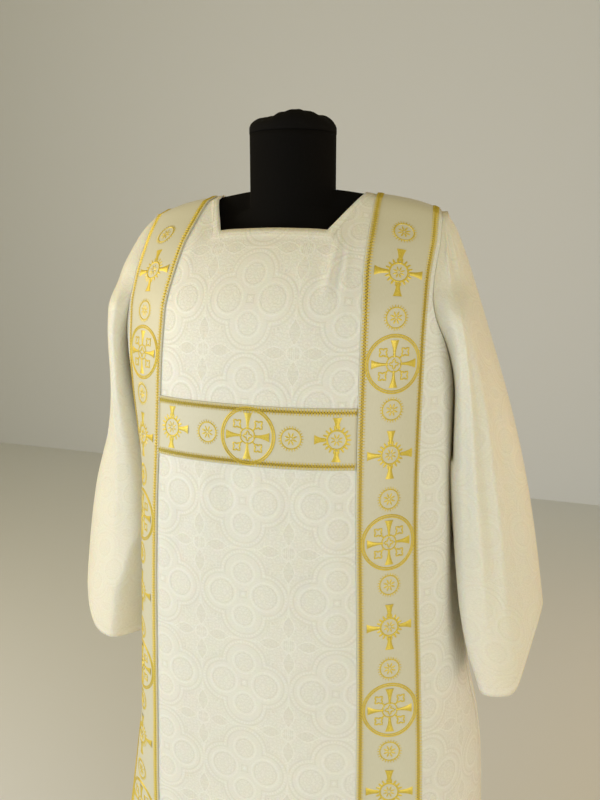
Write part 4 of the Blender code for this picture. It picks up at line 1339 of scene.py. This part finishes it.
side_top = np.linspace(NECK_TOP + CAP_CLEAR, CAP_TOP - CAP_CORNER, 5)
profile = [(NECK_RADIUS + 0.0004, z) for z in side_top]
for bend in np.linspace(0, 1, CAP_RINGS)[1:] * math.pi / 2:
    profile.append((NECK_RADIUS - CAP_CORNER * (1 - math.cos(bend)),
                    CAP_TOP - CAP_CORNER * (1 - math.sin(bend))))
flat_top = np.linspace(NECK_RADIUS - CAP_CORNER, CAP_MIDDLE, CAP_RINGS)[1:]
profile += [(radius, CAP_TOP) for radius in flat_top]
gathers = sum(
    depth * np.sin(waves * turn + start)
    for depth, waves, start in ((0.50, 7, 0.4), (0.35, 12, 2.1), (0.30, 19, 1.3), (0.45, 3, 4.0))
)
cap_rings = []
for radius, z in profile:
    onto_top = float(ease((z - NECK_TOP - GATHERS_START) / GATHERS_GROW_OVER))
    near_middle = min(radius / GATHERS_FULL_RADIUS, 1.0)
    side_on = radius * np.cos(turn)
    knot = KNOT_RISE * np.exp(-(((side_on - KNOT_ACROSS) / KNOT_HALF) ** 2))
    lift = GATHERS_HEIGHT * gathers * onto_top * near_middle - GATHERS_HEIGHT * onto_top
    lift = lift + onto_top * (knot - CAP_SINK - CAP_SLOPE * np.clip(0.25 - side_on / 0.05, 0, 1))
    wide = radius + GATHERS_WIDTH * gathers * onto_top * near_middle - CAP_CLEAR * onto_top
    cap_rings.append(np.column_stack([wide * np.cos(turn), wide * np.sin(turn), z + lift]))
gathered = black_cloth("black cloth gathered", ["#0f0e0d"],
                       numbers={"Roughness": 0.90, "Specular IOR Level": 0.06})
closed_rings("cap_cloth_gathered", cap_rings, gathered, "form_cap")

steel, shader, _ = new_material("steel lacquered black")
set_inputs(shader, {"Base Color": linear("#1d1d1e"), "Metallic": 0.6, "Roughness": 0.35})
for name in ("form_pole", "form_base"):
    bpy.data.objects[name].material_slots[0].material = steel

# ----------------------------------------------------------
# Studio. A plain pale floor and background, broad soft lights from both sides of the front and
# from the left, a warm one from behind on the right, and the room's even light.

REACH = 6.0
WALL = 3.2
AIM = (0, 0, 1.05)
CAMERA_TURN = math.radians(20.2925)
CAMERA_DISTANCE = 1.15
CAMERA_HEIGHT = 1.3842
CAMERA_TILT = math.radians(78.526)
CAMERA_HEADING = math.radians(19.802)

paint, shader, _ = new_material("pale matt floor paint")
set_inputs(shader, {"Base Color": linear("#d6dbe3"), "Roughness": 0.9})
for name, corners in (
    ("floor", [(-REACH, -REACH, 0), (REACH, -REACH, 0), (REACH, REACH, 0), (-REACH, REACH, 0)]),
    ("backdrop", [(-REACH, WALL, -1), (REACH, WALL, -1), (REACH, WALL, 5), (-REACH, WALL, 5)]),
):
    meshed(name, corners, [(0, 1, 2, 3)], paint)

sky = bpy.data.worlds.new("studio")
bpy.context.scene.world = sky
sky.use_nodes = True
set_inputs(sky.node_tree.nodes["Background"], {"Color": linear("#ffecb4"), "Strength": 0.43})

lens = bpy.data.cameras.new("camera")
lens.lens = 34.83
lens.sensor_width = 36.0
camera = in_scene("camera", lens)
camera.location = (
    CAMERA_DISTANCE * math.sin(CAMERA_TURN),
    -CAMERA_DISTANCE * math.cos(CAMERA_TURN),
    CAMERA_HEIGHT,
)
camera.rotation_euler = (CAMERA_TILT, 0, CAMERA_HEADING)
bpy.context.scene.camera = camera
bpy.context.scene.view_settings.view_transform = "Standard"

for name, place, size, watts, colour in (
    ("window", (-2.2, -2.0, 1.1), 1.6, 42, "#cbdfff"),
    ("front", (2.0, -2.2, 1.2), 1.6, 37, "#fffcf8"),
    ("side", (-2.6, -0.9, 1.9), 1.4, 38, "#ffe6ac"),
    ("door", (2.0, 1.5, 1.1), 1.0, 9, "#ffc184"),
):
    lamp = bpy.data.lights.new(name, "AREA")
    lamp.size = size
    lamp.energy = watts
    lamp.color = linear(colour)[:3]
    light = in_scene(name, lamp)
    light.location = place
    light.rotation_euler = (Vector(AIM) - Vector(place)).to_track_quat("-Z", "Y").to_euler()

for unit in (medallion, roundel, *sun_crosses.values(), cord, ground_strip, stitch):
    bpy.data.objects.remove(unit)
for ground in grounds.values():
    wall = ground.modifiers.new("cloth thickness", "SOLIDIFY")
    wall.thickness = CLOTH
    wall.offset = -1.0
    wall.use_even_offset = False
